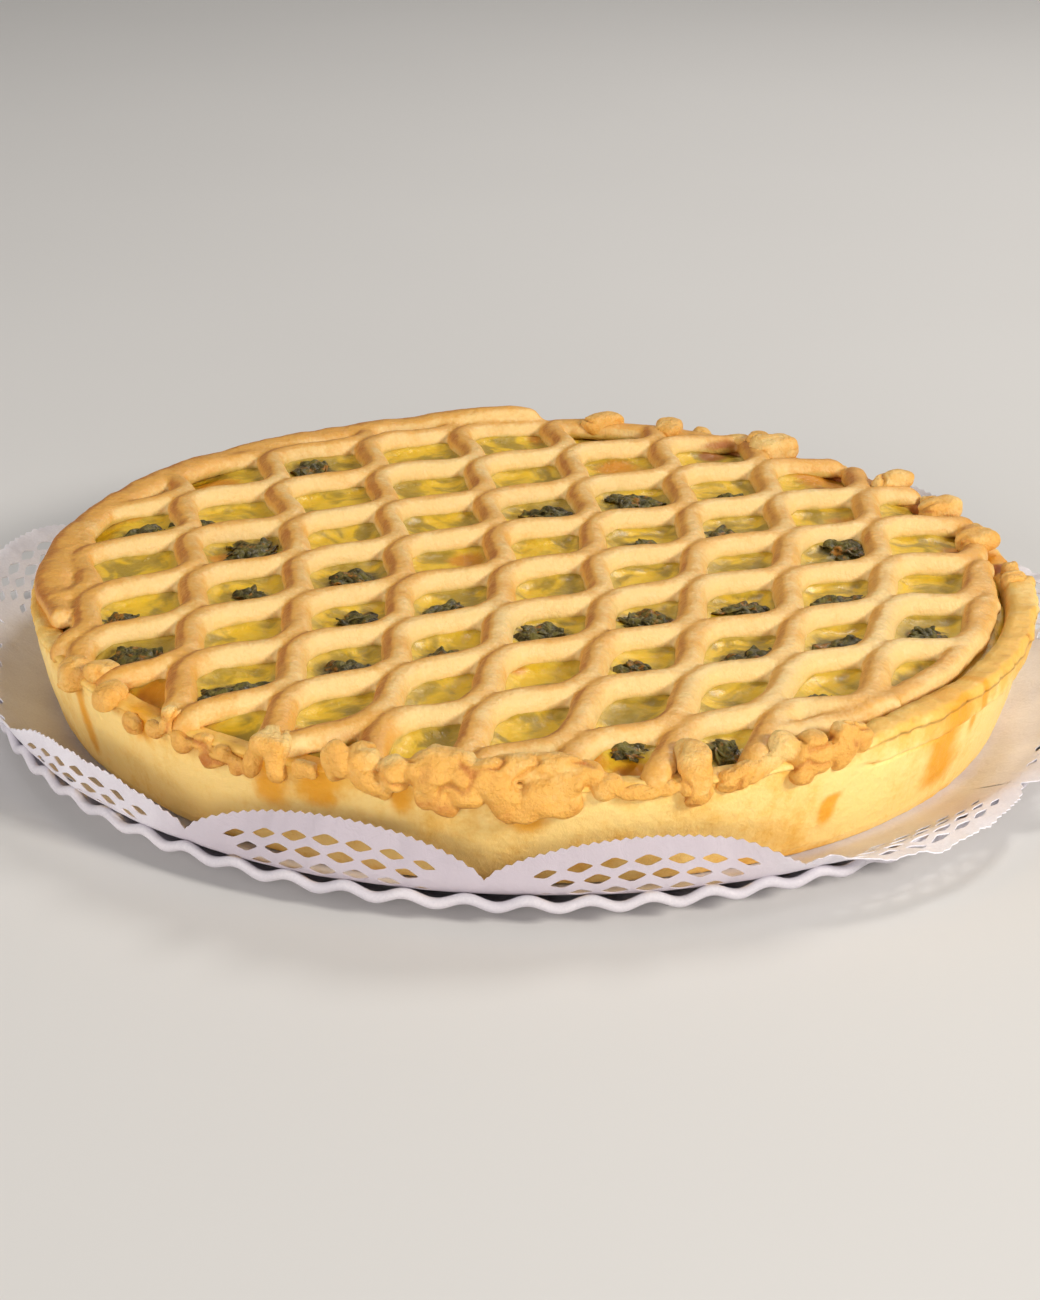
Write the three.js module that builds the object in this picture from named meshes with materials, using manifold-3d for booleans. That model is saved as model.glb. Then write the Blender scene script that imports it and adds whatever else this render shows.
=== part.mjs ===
// A whole round quiche with an open lattice top, on its lace paper doily and fluted paper plate.
// Millimetres, +Z up. The origin is the middle of the plate's underside, and the front is -Y.

import * as THREE from "three";
import { mergeVertices } from "three/addons/utils/BufferGeometryUtils.js";
import Module from "manifold-3d";

const wasm = await Module();
wasm.setup();

// Clearance between pieces that lie on each other, and the slightly smaller one that is cut
const GAP = 0.3;
const CUT_GAP = 0.28;
// Points nearer than this are one point
const MERGE_DISTANCE = 1e-3;

// The paper plate: a flat middle and a fluted rim that curves up
const PLATE_THICKNESS = 1.0;
const PLATE_FLAT_RADIUS = 130;
const PLATE_RADIUS = 148;
const PLATE_RIM_RISE = 6;
const PLATE_RIM_POWER = 1.5;
const FLUTE_COUNT = 64;
const FLUTE_DEPTH = 1.2;
// The flutes reach their full depth before the edge, by this factor
const FLUTE_ONSET = 1.4;

// The doily: twelve round lobes that flare from the plate's edge
const DOILY_THICKNESS = 0.5;
const DOILY_FOLD_RADIUS = 148.5;
const DOILY_NOTCH_RADIUS = 151;
const DOILY_TIP_RADIUS = 168;
const LOBE_COUNT = 12;
const LOBE_STEPS = 8;
const FIRST_NOTCH_DEG = -124;
// Share of a lobe over which its slope changes to its neighbour's
const LOBE_BLEND = 0.25;
// How square the lobes are: 1 is a half wave, less is fuller
const LOBE_FULLNESS = 0.6;
// How far the upper face's fold is drawn in, as a share of the lobe's half slope
const FOLD_TIGHTEN = 0.8;
// Slope of each lobe past the plate's edge, and its share of the full lobe's length,
// from the one left of the front, anticlockwise seen from above
const LOBES = [
  { slopeDeg: 112, reach: 0.68 },
  { slopeDeg: 110, reach: 0.6 },
  { slopeDeg: 8, reach: 0.45 },
  { slopeDeg: 12, reach: 0.8 },
  { slopeDeg: 16, reach: 1 },
  { slopeDeg: 44, reach: 1 },
  { slopeDeg: 42, reach: 1 },
  { slopeDeg: 34, reach: 1 },
  { slopeDeg: 28, reach: 1 },
  { slopeDeg: 30, reach: 1 },
  { slopeDeg: 26, reach: 1 },
  { slopeDeg: 84, reach: 0.54 },
];

// The crust: a straight-sided shell that leans out, with a rolled lip
const CRUST_BASE = PLATE_THICKNESS + DOILY_THICKNESS + 2 * GAP;
const CRUST_BASE_RADIUS = 130;
const CRUST_RIM_RADIUS = 137;
const CRUST_WALL = 5.5;
const CRUST_FLOOR = 3.5;
const CRUST_HEIGHT = 29.6;
const CRUST_BULGE = 0.9;
const CRUST_SEGMENTS = 72;
// Small waves of the wall and of the lip, out and in
const WALL_WANDER = 0.35;
const LIP_WANDER = 0.45;
// Rounding under the wall, and the two levels between base and lip, as shares of the height
const BASE_ROUNDING = 1.5;
const WALL_LEVELS = [0.42, 0.8];
const LIP_WIDTH = 6.5;
const LIP_ROUNDING = 2;
// Where the wall's inside meets the floor and the filling, as shares of the height
const INSIDE_FOOT = 0.1;
const INSIDE_TOP = 0.85;
const FILLING_SHOULDER = 3;
// The stretch of lip on the right that stands bare, outside the lattice
const BARE_LIP = { fromDeg: -50, toDeg: -2, softDeg: 6, rise: 3.4 };

// The filling: custard set to just under the lattice
const FILLING_TOP = CRUST_BASE + CRUST_HEIGHT;
const FILLING_WAVE = 1.3;
const FILLING_RINGS = 12;
const COVER_STEP = 0.1;
// The wilted leaves: how many, how far out, and their length and width with a seeded extra
const LEAF_COUNT = 10;
const LEAF_REACH = 104;
const LEAF_THICKNESS = 0.9;
const LEAF_LIFT = 0.5;
const LEAF_FOLD = 0.9;
const LEAF_LENGTH = [10, 3];
const LEAF_WIDTH = [7, 2];

// The lattice: a slit sheet of dough pulled open into slanted windows
const LATTICE_UNDERSIDE = FILLING_TOP + GAP;
const STRAND_HEIGHT = 5;
const STRAND_WIDTH = 8.4;
const STRAND_SHOULDER = 0.62;
const STRAND_SHOULDER_DROP = 1.1;
const STRAND_PULL = 0.32;
const JUNCTION_HALF_LENGTH = 4.2;
const LATTICE_RADIUS = 136.4;
// The net sinks towards the rim from this radius on, by this much
const LATTICE_EDGE_START = 112;
const LATTICE_EDGE_DROP = 1.6;
const LATTICE_EDGE_WANDER = 0.5;
// One window to the right, one window back, and how both bend across the pie
const LATTICE_START = [-8.3, -4.9];
const STEP_RIGHT = [27, 11.3];
const STEP_BACK = [-1, 30.9];
const BEND_RIGHT = [0, -0.37];
const BEND_BOTH = [0.54, 0.08];
const BEND_BACK = [-0.66, 0.03];
const STRAND_WANDER = 1.1;
// The net is laid out over this many windows each way, and cut round afterwards
const NET_REACH = 8;
// Limits how far an outline's corners move when it is set in
const SHARPEST_CORNER = 0.62;
// Rolls of dough along the edge, which the strands run into
const ROLL_STEP_DEG = 6;
const ROLL_SECTION = [
  [-0.5, 0], [-0.36, 0.75], [0, 1], [0.36, 0.75], [0.5, 0],
];
const ROLL_END_WIDTH = 0.55;
const ROLL_WANDER = 0.25;
const EDGE_ROLLS = [
  { fromDeg: 89, toDeg: 206, radius: 129, width: 14, height: 4.6, endLift: 2.6 },
  { fromDeg: -62, toDeg: 9, radius: 124.5, width: 9.5, height: 4.4 },
  { fromDeg: 62, toDeg: 88, radius: 129, width: 11, height: 4.2 },
];
// Ends folded over the rim; `above` is the height of the lump's middle over the rim
const FOLDED_ENDS = [
  { angleDeg: -136, radius: 133.6, above: 2.1, long: 15, wide: 11, high: 8 },
  { angleDeg: -121, radius: 133.6, above: 2.1, long: 16, wide: 12, high: 8 },
  { angleDeg: -112, radius: 133.6, above: 2, long: 14, wide: 11, high: 9 },
  { angleDeg: -99, radius: 133.6, above: 1.2, long: 17, wide: 17, high: 14 },
  { angleDeg: -91, radius: 133.6, above: 1.3, long: 17, wide: 14, high: 13 },
  { angleDeg: -84, radius: 133.6, above: 1.6, long: 15, wide: 12, high: 11 },
  { angleDeg: -55, radius: 133.6, above: 1.8, long: 15, wide: 14, high: 10 },
  { angleDeg: -66, radius: 137.2, above: -0.8, long: 5.5, wide: 9, high: 20 },
];
const FOLDED_END_DENTS = [0.16, 0.1];
// Cut ends that stand in a row along the right and the back
const CUT_ENDS = { fromDeg: 10, toDeg: 84, stepDeg: 12.3, radius: 129.5, turnDeg: 14 };
const CUT_END_SIZE = [14, 8.5, 7.6];
// A cut end's height at its inner side, and what its outer side and one corner add, as shares
const CUT_END_SLOPE = [0.55, 0.3, 0.15];
const CUT_END_TAPER = 0.25;

const PAPER_WHITE = 0xf1f0f5;
const DOUGH_GOLD = 0xe3b468;
const DOUGH_PALE = 0xedcb8f;
const CUSTARD_YELLOW = 0xc9a93a;

const DEG = Math.PI / 180;

// A repeatable source of numbers from 0 to 1
function seeded(seed) {
  let state = seed >>> 0;
  return () => {
    state = (state + 0x6d2b79f5) >>> 0;
    let value = state;
    value = Math.imul(value ^ (value >>> 15), value | 1);
    value ^= value + Math.imul(value ^ (value >>> 7), value | 61);
    return ((value ^ (value >>> 14)) >>> 0) / 4294967296;
  };
}

function smooth(low, high, value) {
  return THREE.MathUtils.smoothstep(value, low, high);
}

// A slow wave around the pie, made of a few harmonics with seeded phases
function ringWave(seed, firstHarmonic, harmonics) {
  const random = seeded(seed);
  const terms = [];
  for (let k = 0; k < harmonics; k += 1) {
    terms.push({ order: firstHarmonic + k, phase: random() * 2 * Math.PI });
  }
  return (angle) => {
    let sum = 0;
    for (const term of terms) {
      sum += Math.sin(term.order * angle + term.phase);
    }
    return sum / Math.sqrt(harmonics);
  };
}

// Collects the points and faces of one closed body
class Body {
  constructor() {
    this.points = [];
    this.faces = [];
  }

  add(x, y, z) {
    this.points.push(x, y, z);
    return this.points.length / 3 - 1;
  }

  ring(count, place) {
    const indices = [];
    for (let k = 0; k < count; k += 1) {
      indices.push(this.add(...place(k)));
    }
    return indices;
  }

  // Joins two closed rings of one length; faces point away from the axis when `upper` is above
  band(lower, upper) {
    const count = lower.length;
    for (let k = 0; k < count; k += 1) {
      const next = (k + 1) % count;
      this.faces.push(lower[k], lower[next], upper[next], lower[k], upper[next], upper[k]);
    }
  }

  // Closes a ring with a fan; the faces point up when `up` is true
  cap(ring, centre, up) {
    const count = ring.length;
    for (let k = 0; k < count; k += 1) {
      const next = (k + 1) % count;
      if (up) {
        this.faces.push(ring[k], ring[next], centre);
      } else {
        this.faces.push(ring[next], ring[k], centre);
      }
    }
  }

  geometry() {
    const geometry = new THREE.BufferGeometry();
    geometry.setAttribute("position", new THREE.Float32BufferAttribute(this.points, 3));
    geometry.setIndex(this.faces);
    return geometry;
  }
}

function polar(radius, angle, z) {
  return [radius * Math.cos(angle), radius * Math.sin(angle), z];
}

function solidFrom(geometry) {
  const bare = geometry.clone();
  bare.deleteAttribute("normal");
  bare.deleteAttribute("uv");
  const merged = mergeVertices(bare, MERGE_DISTANCE);
  return new wasm.Manifold(new wasm.Mesh({
    numProp: 3,
    vertProperties: new Float32Array(merged.attributes.position.array),
    triVerts: new Uint32Array(merged.index.array),
  }));
}

function geometryFrom(solid) {
  const mesh = solid.getMesh();
  const geometry = new THREE.BufferGeometry();
  geometry.setAttribute("position", new THREE.Float32BufferAttribute(mesh.vertProperties, 3));
  geometry.setIndex(Array.from(mesh.triVerts));
  return geometry;
}

// Keeps the one big body where a cut left crumbs beside it
function largest(solid) {
  const bodies = solidFrom(geometryFrom(solid)).decompose();
  bodies.sort((first, second) => second.volume() - first.volume());
  return bodies[0];
}

function named(name, geometry, colour, roughness) {
  const material = new THREE.MeshStandardMaterial({ color: colour, roughness, metalness: 0 });
  const mesh = new THREE.Mesh(geometry, material);
  mesh.name = name;
  geometry.computeVertexNormals();
  return mesh;
}

// How far out on the plate's rim a radius lies: 0 at the flat middle, 1 at the edge
function rimShare(radius) {
  return Math.max(0, (radius - PLATE_FLAT_RADIUS) / (PLATE_RADIUS - PLATE_FLAT_RADIUS));
}

// Height of the plate's face above its flat middle, before the flutes
function plateRise(radius) {
  return PLATE_RIM_RISE * rimShare(radius) ** PLATE_RIM_POWER;
}

function fluteDepth(radius) {
  return FLUTE_DEPTH * Math.min(1, rimShare(radius) * FLUTE_ONSET);
}

function plate() {
  const body = new Body();
  const count = FLUTE_COUNT * 2;
  const radii = [PLATE_FLAT_RADIUS, 0.5 * (PLATE_FLAT_RADIUS + PLATE_RADIUS), PLATE_RADIUS];
  const rings = (lift) => radii.map((radius) => body.ring(count, (k) => {
    const flute = (k % 2 ? 1 : -1) * fluteDepth(radius);
    return polar(radius, (2 * Math.PI * k) / count, lift + plateRise(radius) + flute);
  }));
  const under = rings(0);
  const over = rings(PLATE_THICKNESS);
  body.cap(under[0], body.add(0, 0, 0), false);
  body.band(under[0], under[1]);
  body.band(under[1], under[2]);
  body.band(under[2], over[2]);
  body.band(over[2], over[1]);
  body.band(over[1], over[0]);
  body.cap(over[0], body.add(0, 0, PLATE_THICKNESS), true);
  return named("plate", body.geometry(), PAPER_WHITE, 0.7);
}

// The doily's lobe at a step around it: its slope, reach and how far the edge stands out
function lobeAt(step) {
  const lobe = Math.floor(step / LOBE_STEPS) % LOBE_COUNT;
  const inside = (step % LOBE_STEPS) / LOBE_STEPS;
  const before = LOBES[(lobe + LOBE_COUNT - 1) % LOBE_COUNT];
  const here = LOBES[lobe];
  const after = LOBES[(lobe + 1) % LOBE_COUNT];
  const fromBefore = 0.5 * (1 - smooth(0, LOBE_BLEND, inside));
  const fromAfter = 0.5 * smooth(1 - LOBE_BLEND, 1, inside);
  const slopeDeg = here.slopeDeg * (1 - fromBefore - fromAfter)
    + before.slopeDeg * fromBefore + after.slopeDeg * fromAfter;
  const bow = Math.sin(Math.PI * inside) ** LOBE_FULLNESS;
  const reach = DOILY_NOTCH_RADIUS - DOILY_FOLD_RADIUS
    + (DOILY_TIP_RADIUS - DOILY_NOTCH_RADIUS) * bow * here.reach;
  return { slope: slopeDeg * DEG, reach };
}

function doily() {
  const body = new Body();
  const count = LOBE_COUNT * LOBE_STEPS;
  const angleOf = (step) => FIRST_NOTCH_DEG * DEG + (2 * Math.PI * step) / count;
  const restOn = (radius) => PLATE_THICKNESS + GAP + plateRise(radius) + fluteDepth(radius);
  const middle = 0.5 * (PLATE_FLAT_RADIUS + DOILY_FOLD_RADIUS);
  const rings = (lift) => [
    body.ring(count, (k) => polar(PLATE_FLAT_RADIUS, angleOf(k), restOn(0) + lift)),
    body.ring(count, (k) => polar(middle, angleOf(k), restOn(middle) + lift)),
    body.ring(count, (k) => {
      const half = 0.5 * lobeAt(k).slope;
      const radius = DOILY_FOLD_RADIUS - lift * Math.tan(half * FOLD_TIGHTEN);
      return polar(radius, angleOf(k), restOn(DOILY_FOLD_RADIUS) + lift);
    }),
    body.ring(count, (k) => {
      const { slope, reach } = lobeAt(k);
      const radius = DOILY_FOLD_RADIUS + reach * Math.cos(slope) - lift * Math.sin(slope);
      const z = restOn(DOILY_FOLD_RADIUS) + reach * Math.sin(slope) + lift * Math.cos(slope);
      return polar(radius, angleOf(k), z);
    }),
  ];
  const under = rings(0);
  const over = rings(DOILY_THICKNESS);
  const last = under.length - 1;
  body.cap(under[0], body.add(0, 0, restOn(0)), false);
  for (let k = 0; k < last; k += 1) {
    body.band(under[k], under[k + 1]);
    body.band(over[k + 1], over[k]);
  }
  body.band(under[last], over[last]);
  body.cap(over[0], body.add(0, 0, restOn(0) + DOILY_THICKNESS), true);
  return named("doily", body.geometry(), PAPER_WHITE, 0.85);
}

// How far the bare stretch of lip is raised at an angle, from 0 to 1
function bareLip(angle) {
  let degrees = angle / DEG;
  if (degrees > 180) {
    degrees -= 360;
  }
  return smooth(BARE_LIP.fromDeg - BARE_LIP.softDeg, BARE_LIP.fromDeg, degrees)
    * (1 - smooth(BARE_LIP.toDeg, BARE_LIP.toDeg + BARE_LIP.softDeg, degrees));
}

const wallWave = ringWave(11, 3, 5);
const lipWave = ringWave(23, 9, 12);

// Outer radius of the crust's wall at a share of its height
function wallRadius(angle, share) {
  const lean = THREE.MathUtils.lerp(CRUST_BASE_RADIUS, CRUST_RIM_RADIUS, share);
  return lean + CRUST_BULGE * Math.sin(Math.PI * share) + WALL_WANDER * share * wallWave(angle);
}

// Radius of the hollow's wall at a share of the height
function hollowRadius(share) {
  return THREE.MathUtils.lerp(CRUST_BASE_RADIUS, CRUST_RIM_RADIUS, share) - CRUST_WALL;
}

// The crust's profile at one angle, from its underside round the lip to the inside.
// `grow` swells the outside, for cutting what lies against it.
function crustProfile(angle, grow) {
  const lip = BARE_LIP.rise * bareLip(angle);
  const top = CRUST_BASE + CRUST_HEIGHT + grow;
  const wave = LIP_WANDER * lipWave(angle);
  const at = (share) => wallRadius(angle, share) + grow;
  const rim = at(1) + wave;
  const inner = CRUST_RIM_RADIUS - LIP_WIDTH - grow;
  return [
    [CRUST_BASE_RADIUS - BASE_ROUNDING + grow, CRUST_BASE - grow],
    [CRUST_BASE_RADIUS + grow, CRUST_BASE + BASE_ROUNDING],
    ...WALL_LEVELS.map((share) => [at(share), CRUST_BASE + share * CRUST_HEIGHT]),
    [rim, top - LIP_ROUNDING + 0.75 * lip],
    [rim - LIP_ROUNDING, top + lip],
    [inner, top - 0.2 * LIP_ROUNDING + 0.3 * lip],
  ];
}

// The crust itself when `hollow`, or else crust and filling as one block that cuts other pieces
function crustShell(grow, hollow) {
  const body = new Body();
  const angleOf = (k) => (2 * Math.PI * k) / CRUST_SEGMENTS;
  const levels = crustProfile(0, grow).length;
  const rings = [];
  for (let level = 0; level < levels; level += 1) {
    rings.push(body.ring(CRUST_SEGMENTS, (k) => {
      const [radius, z] = crustProfile(angleOf(k), grow)[level];
      return polar(radius, angleOf(k), z);
    }));
  }
  const addRing = (radius, z) => {
    rings.push(body.ring(CRUST_SEGMENTS, (k) => polar(radius, angleOf(k), z)));
  };
  if (hollow) {
    addRing(hollowRadius(INSIDE_TOP), FILLING_TOP - FILLING_SHOULDER);
    addRing(hollowRadius(INSIDE_FOOT), CRUST_BASE + CRUST_FLOOR);
  } else {
    addRing(CRUST_RIM_RADIUS - LIP_WIDTH - grow - COVER_STEP, FILLING_TOP + grow);
  }
  for (let level = 0; level + 1 < rings.length; level += 1) {
    body.band(rings[level], rings[level + 1]);
  }
  body.cap(rings[0], body.add(0, 0, CRUST_BASE - grow), false);
  const last = rings[rings.length - 1];
  const centre = hollow ? CRUST_BASE + CRUST_FLOOR : FILLING_TOP + grow;
  body.cap(last, body.add(0, 0, centre), true);
  return body.geometry();
}

// Where the dough's junction number (i, j) lies
function junction(i, j) {
  const random = seeded(4001 + 97 * (i + 20) + 13 * (j + 20));
  const place = [0, 1].map((axis) => LATTICE_START[axis]
    + STEP_RIGHT[axis] * i + STEP_BACK[axis] * j
    + BEND_RIGHT[axis] * i * i + BEND_BOTH[axis] * i * j + BEND_BACK[axis] * j * j
    + STRAND_WANDER * (2 * random() - 1));
  return new THREE.Vector2(place[0], place[1]);
}

function middleOfWindow(i, j) {
  const corners = [junction(i, j), junction(i + 1, j), junction(i, j + 1), junction(i + 1, j + 1)];
  const sum = new THREE.Vector2();
  for (const corner of corners) {
    sum.add(corner);
  }
  return sum.multiplyScalar(0.25);
}

const JUNCTION_DIRECTION = new THREE.Vector2(
  STEP_RIGHT[0] + STEP_BACK[0],
  STEP_RIGHT[1] + STEP_BACK[1],
).normalize();

function junctionEnd(i, j, side) {
  return junction(i, j).addScaledVector(JUNCTION_DIRECTION, side * JUNCTION_HALF_LENGTH);
}

// The middle of a strand between two junctions: it leaves and arrives along the junctions,
// so it is S-shaped
function strandMiddle(from, to) {
  const pull = STRAND_PULL * from.distanceTo(to);
  const curve = new THREE.CubicBezierCurve(
    from,
    from.clone().addScaledVector(JUNCTION_DIRECTION, pull),
    to.clone().addScaledVector(JUNCTION_DIRECTION, -pull),
    to,
  );
  return curve.getPoint(0.5);
}

// The window's outline along the middles of the strands round it, anticlockwise.
// Each point has a key, so that neighbouring windows share it.
function windowOutline(i, j) {
  const lower = (a, b) => ({ key: `low ${a} ${b}`, at: junctionEnd(a, b, -1) });
  const upper = (a, b) => ({ key: `up ${a} ${b}`, at: junctionEnd(a, b, 1) });
  const strand = (from, to) => ({
    key: `${from.key} to ${to.key}`,
    at: strandMiddle(from.at, to.at),
  });
  const start = upper(i, j);
  const right = [lower(i + 1, j), upper(i + 1, j)];
  const end = lower(i + 1, j + 1);
  const left = [lower(i, j + 1), upper(i, j + 1)];
  return [
    start, strand(start, right[0]), ...right, strand(right[1], end), end,
    strand(left[1], end), left[1], left[0], strand(start, left[0]),
  ];
}

// A window's edge, set in from the strands' middles by a distance
function insetOutline(outline, distance) {
  const count = outline.length;
  return outline.map((point, k) => {
    const before = outline[(k + count - 1) % count].at;
    const after = outline[(k + 1) % count].at;
    const arriving = point.at.clone().sub(before).normalize();
    const leaving = after.clone().sub(point.at).normalize();
    const inward = new THREE.Vector2(-arriving.y - leaving.y, arriving.x + leaving.x).normalize();
    const facing = inward.x * -leaving.y + inward.y * leaving.x;
    return point.at.clone().addScaledVector(inward, distance / Math.max(SHARPEST_CORNER, facing));
  });
}

function latticeTop(radius) {
  const drop = LATTICE_EDGE_DROP * smooth(LATTICE_EDGE_START, LATTICE_RADIUS, radius);
  return LATTICE_UNDERSIDE + STRAND_HEIGHT - drop;
}

// The whole net of strands, past the rim; its edge is cut round afterwards
function latticeNet() {
  const body = new Body();
  const crowns = new Map();
  const undersides = new Map();
  const shared = (store, point, z) => {
    if (!store.has(point.key)) {
      store.set(point.key, body.add(point.at.x, point.at.y, z));
    }
    return store.get(point.key);
  };
  const sides = new Map();
  for (let i = -NET_REACH; i <= NET_REACH; i += 1) {
    for (let j = -NET_REACH; j <= NET_REACH; j += 1) {
      const outline = windowOutline(i, j);
      if (!outline.some((point) => point.at.length() < LATTICE_RADIUS)) {
        continue;
      }
      const count = outline.length;
      const shoulder = insetOutline(outline, 0.5 * STRAND_WIDTH * STRAND_SHOULDER);
      const foot = insetOutline(outline, 0.5 * STRAND_WIDTH);
      const rows = [
        outline.map((point) => shared(crowns, point, latticeTop(point.at.length()))),
        shoulder.map((at) => body.add(at.x, at.y, latticeTop(at.length()) - STRAND_SHOULDER_DROP)),
        foot.map((at) => body.add(at.x, at.y, LATTICE_UNDERSIDE)),
        outline.map((point) => shared(undersides, point, LATTICE_UNDERSIDE)),
      ];
      for (let row = 0; row < 3; row += 1) {
        body.band(rows[row], rows[row + 1]);
      }
      for (let k = 0; k < count; k += 1) {
        const next = (k + 1) % count;
        const reverse = `${outline[next].key}|${outline[k].key}`;
        if (sides.has(reverse)) {
          sides.delete(reverse);
        } else {
          sides.set(`${outline[k].key}|${outline[next].key}`,
            [rows[0][k], rows[0][next], rows[3][next], rows[3][k]]);
        }
      }
    }
  }
  for (const [topA, topB, underB, underA] of sides.values()) {
    body.faces.push(topB, topA, underA, topB, underA, underB);
  }
  return body.geometry();
}

const edgeWave = ringWave(37, 7, 9);

// Where the strands end at an angle: inside the roll of dough there, or on the rim
function strandEnd(angle) {
  const degrees = (angle / DEG + 360) % 360;
  for (const { fromDeg, toDeg, radius } of EDGE_ROLLS) {
    const turn = (degrees - fromDeg + 720) % 360;
    if (turn <= toDeg - fromDeg) {
      return radius;
    }
  }
  return LATTICE_RADIUS + LATTICE_EDGE_WANDER * edgeWave(angle);
}

// A drum that keeps what lies inside the lattice's edge
function latticeDrum() {
  const body = new Body();
  const angleOf = (k) => (2 * Math.PI * k) / CRUST_SEGMENTS;
  const edge = (k) => strandEnd(angleOf(k));
  const low = LATTICE_UNDERSIDE - STRAND_HEIGHT;
  const high = LATTICE_UNDERSIDE + 2 * STRAND_HEIGHT;
  const under = body.ring(CRUST_SEGMENTS, (k) => polar(edge(k), angleOf(k), low));
  const over = body.ring(CRUST_SEGMENTS, (k) => polar(edge(k), angleOf(k), high));
  body.cap(under, body.add(0, 0, low), false);
  body.band(under, over);
  body.cap(over, body.add(0, 0, high), true);
  return body.geometry();
}

// A flattened roll of dough that lies along the rim from one angle to another
function edgeRoll({ fromDeg, toDeg, radius, width, height, endLift = 0 }) {
  const body = new Body();
  const steps = Math.round((toDeg - fromDeg) / ROLL_STEP_DEG);
  const rows = [];
  for (let k = 0; k <= steps; k += 1) {
    const share = k / steps;
    const angle = THREE.MathUtils.lerp(fromDeg, toDeg, share) * DEG;
    const taper = THREE.MathUtils.lerp(ROLL_END_WIDTH, 1, smooth(0, 0.12, Math.min(share, 1 - share)));
    const lift = endLift * (1 - smooth(0, 0.25, share));
    const crown = height + lift + ROLL_WANDER * edgeWave(3 * angle);
    rows.push(ROLL_SECTION.map(([across, up]) => body.add(...polar(
      radius + width * taper * across,
      angle,
      LATTICE_UNDERSIDE + up * crown,
    ))));
  }
  const points = ROLL_SECTION.length;
  for (let k = 0; k < steps; k += 1) {
    for (let n = 0; n < points; n += 1) {
      const next = (n + 1) % points;
      const [a, b, c, d] = [rows[k][n], rows[k][next], rows[k + 1][next], rows[k + 1][n]];
      body.faces.push(a, b, c, a, c, d);
    }
  }
  for (let n = 1; n + 1 < points; n += 1) {
    body.faces.push(rows[0][0], rows[0][n + 1], rows[0][n]);
    body.faces.push(rows[steps][0], rows[steps][n], rows[steps][n + 1]);
  }
  return body.geometry();
}

// A folded end of dough: a dented lump, long across the rim
function foldedEnd({ angleDeg, radius, above, long, wide, high }, seed) {
  const lump = new THREE.IcosahedronGeometry(1, 1);
  const random = seeded(seed);
  const phase = [random() * 6, random() * 6, random() * 6];
  const place = lump.attributes.position;
  for (let k = 0; k < place.count; k += 1) {
    const x = place.getX(k);
    const y = place.getY(k);
    const z = place.getZ(k);
    const dent = 1
      + FOLDED_END_DENTS[0] * Math.sin(2.3 * x + phase[0]) * Math.sin(2.7 * y + phase[1])
      + FOLDED_END_DENTS[1] * Math.sin(3.1 * z + phase[2]);
    place.setXYZ(k, 0.5 * long * x * dent, 0.5 * wide * y * dent, 0.5 * high * z * dent);
  }
  lump.rotateZ(angleDeg * DEG);
  lump.translate(...polar(radius, angleDeg * DEG, FILLING_TOP + above));
  return lump;
}

// A cut end that stands on the rim: a short block of dough with one high corner
function cutEnd(angleDeg) {
  const block = new THREE.BoxGeometry(...CUT_END_SIZE);
  const place = block.attributes.position;
  for (let k = 0; k < place.count; k += 1) {
    const outside = place.getX(k) > 0 ? 1 : 0;
    const turned = place.getY(k) > 0 ? 1 : 0;
    const above = place.getZ(k) > 0 ? 1 : 0;
    const [inner, outer, corner] = CUT_END_SLOPE;
    const crown = CUT_END_SIZE[2] * (inner + outer * outside + corner * outside * turned);
    const narrow = 1 - CUT_END_TAPER * above;
    place.setXYZ(k, place.getX(k), place.getY(k) * narrow, LATTICE_UNDERSIDE + above * crown);
  }
  block.rotateZ((angleDeg + CUT_ENDS.turnDeg) * DEG);
  block.translate(...polar(CUT_ENDS.radius, angleDeg * DEG, 0));
  return block;
}

function lattice() {
  let solid = solidFrom(latticeNet()).intersect(solidFrom(latticeDrum()));
  for (const roll of EDGE_ROLLS) {
    solid = solid.add(solidFrom(edgeRoll(roll)));
  }
  for (let angleDeg = CUT_ENDS.fromDeg; angleDeg <= CUT_ENDS.toDeg; angleDeg += CUT_ENDS.stepDeg) {
    solid = solid.add(solidFrom(cutEnd(angleDeg)));
  }
  const under = solidFrom(crustShell(CUT_GAP, false));
  FOLDED_ENDS.forEach((end, index) => {
    solid = solid.add(solidFrom(foldedEnd(end, 900 + index)).subtract(under));
  });
  return named("lattice", geometryFrom(largest(solid)), DOUGH_PALE, 0.75);
}

const fillingWaves = [ringWave(51, 1, 4), ringWave(52, 2, 4), ringWave(53, 3, 4)];

function fillingHeight(x, y) {
  const radius = Math.hypot(x, y);
  const angle = Math.atan2(y, x);
  const roll = fillingWaves[0](angle + radius / 21) + fillingWaves[1](angle - radius / 15)
    + fillingWaves[2](radius / 9);
  return FILLING_TOP - FILLING_WAVE * (0.5 - 0.5 * Math.tanh(0.6 * roll));
}

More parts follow.
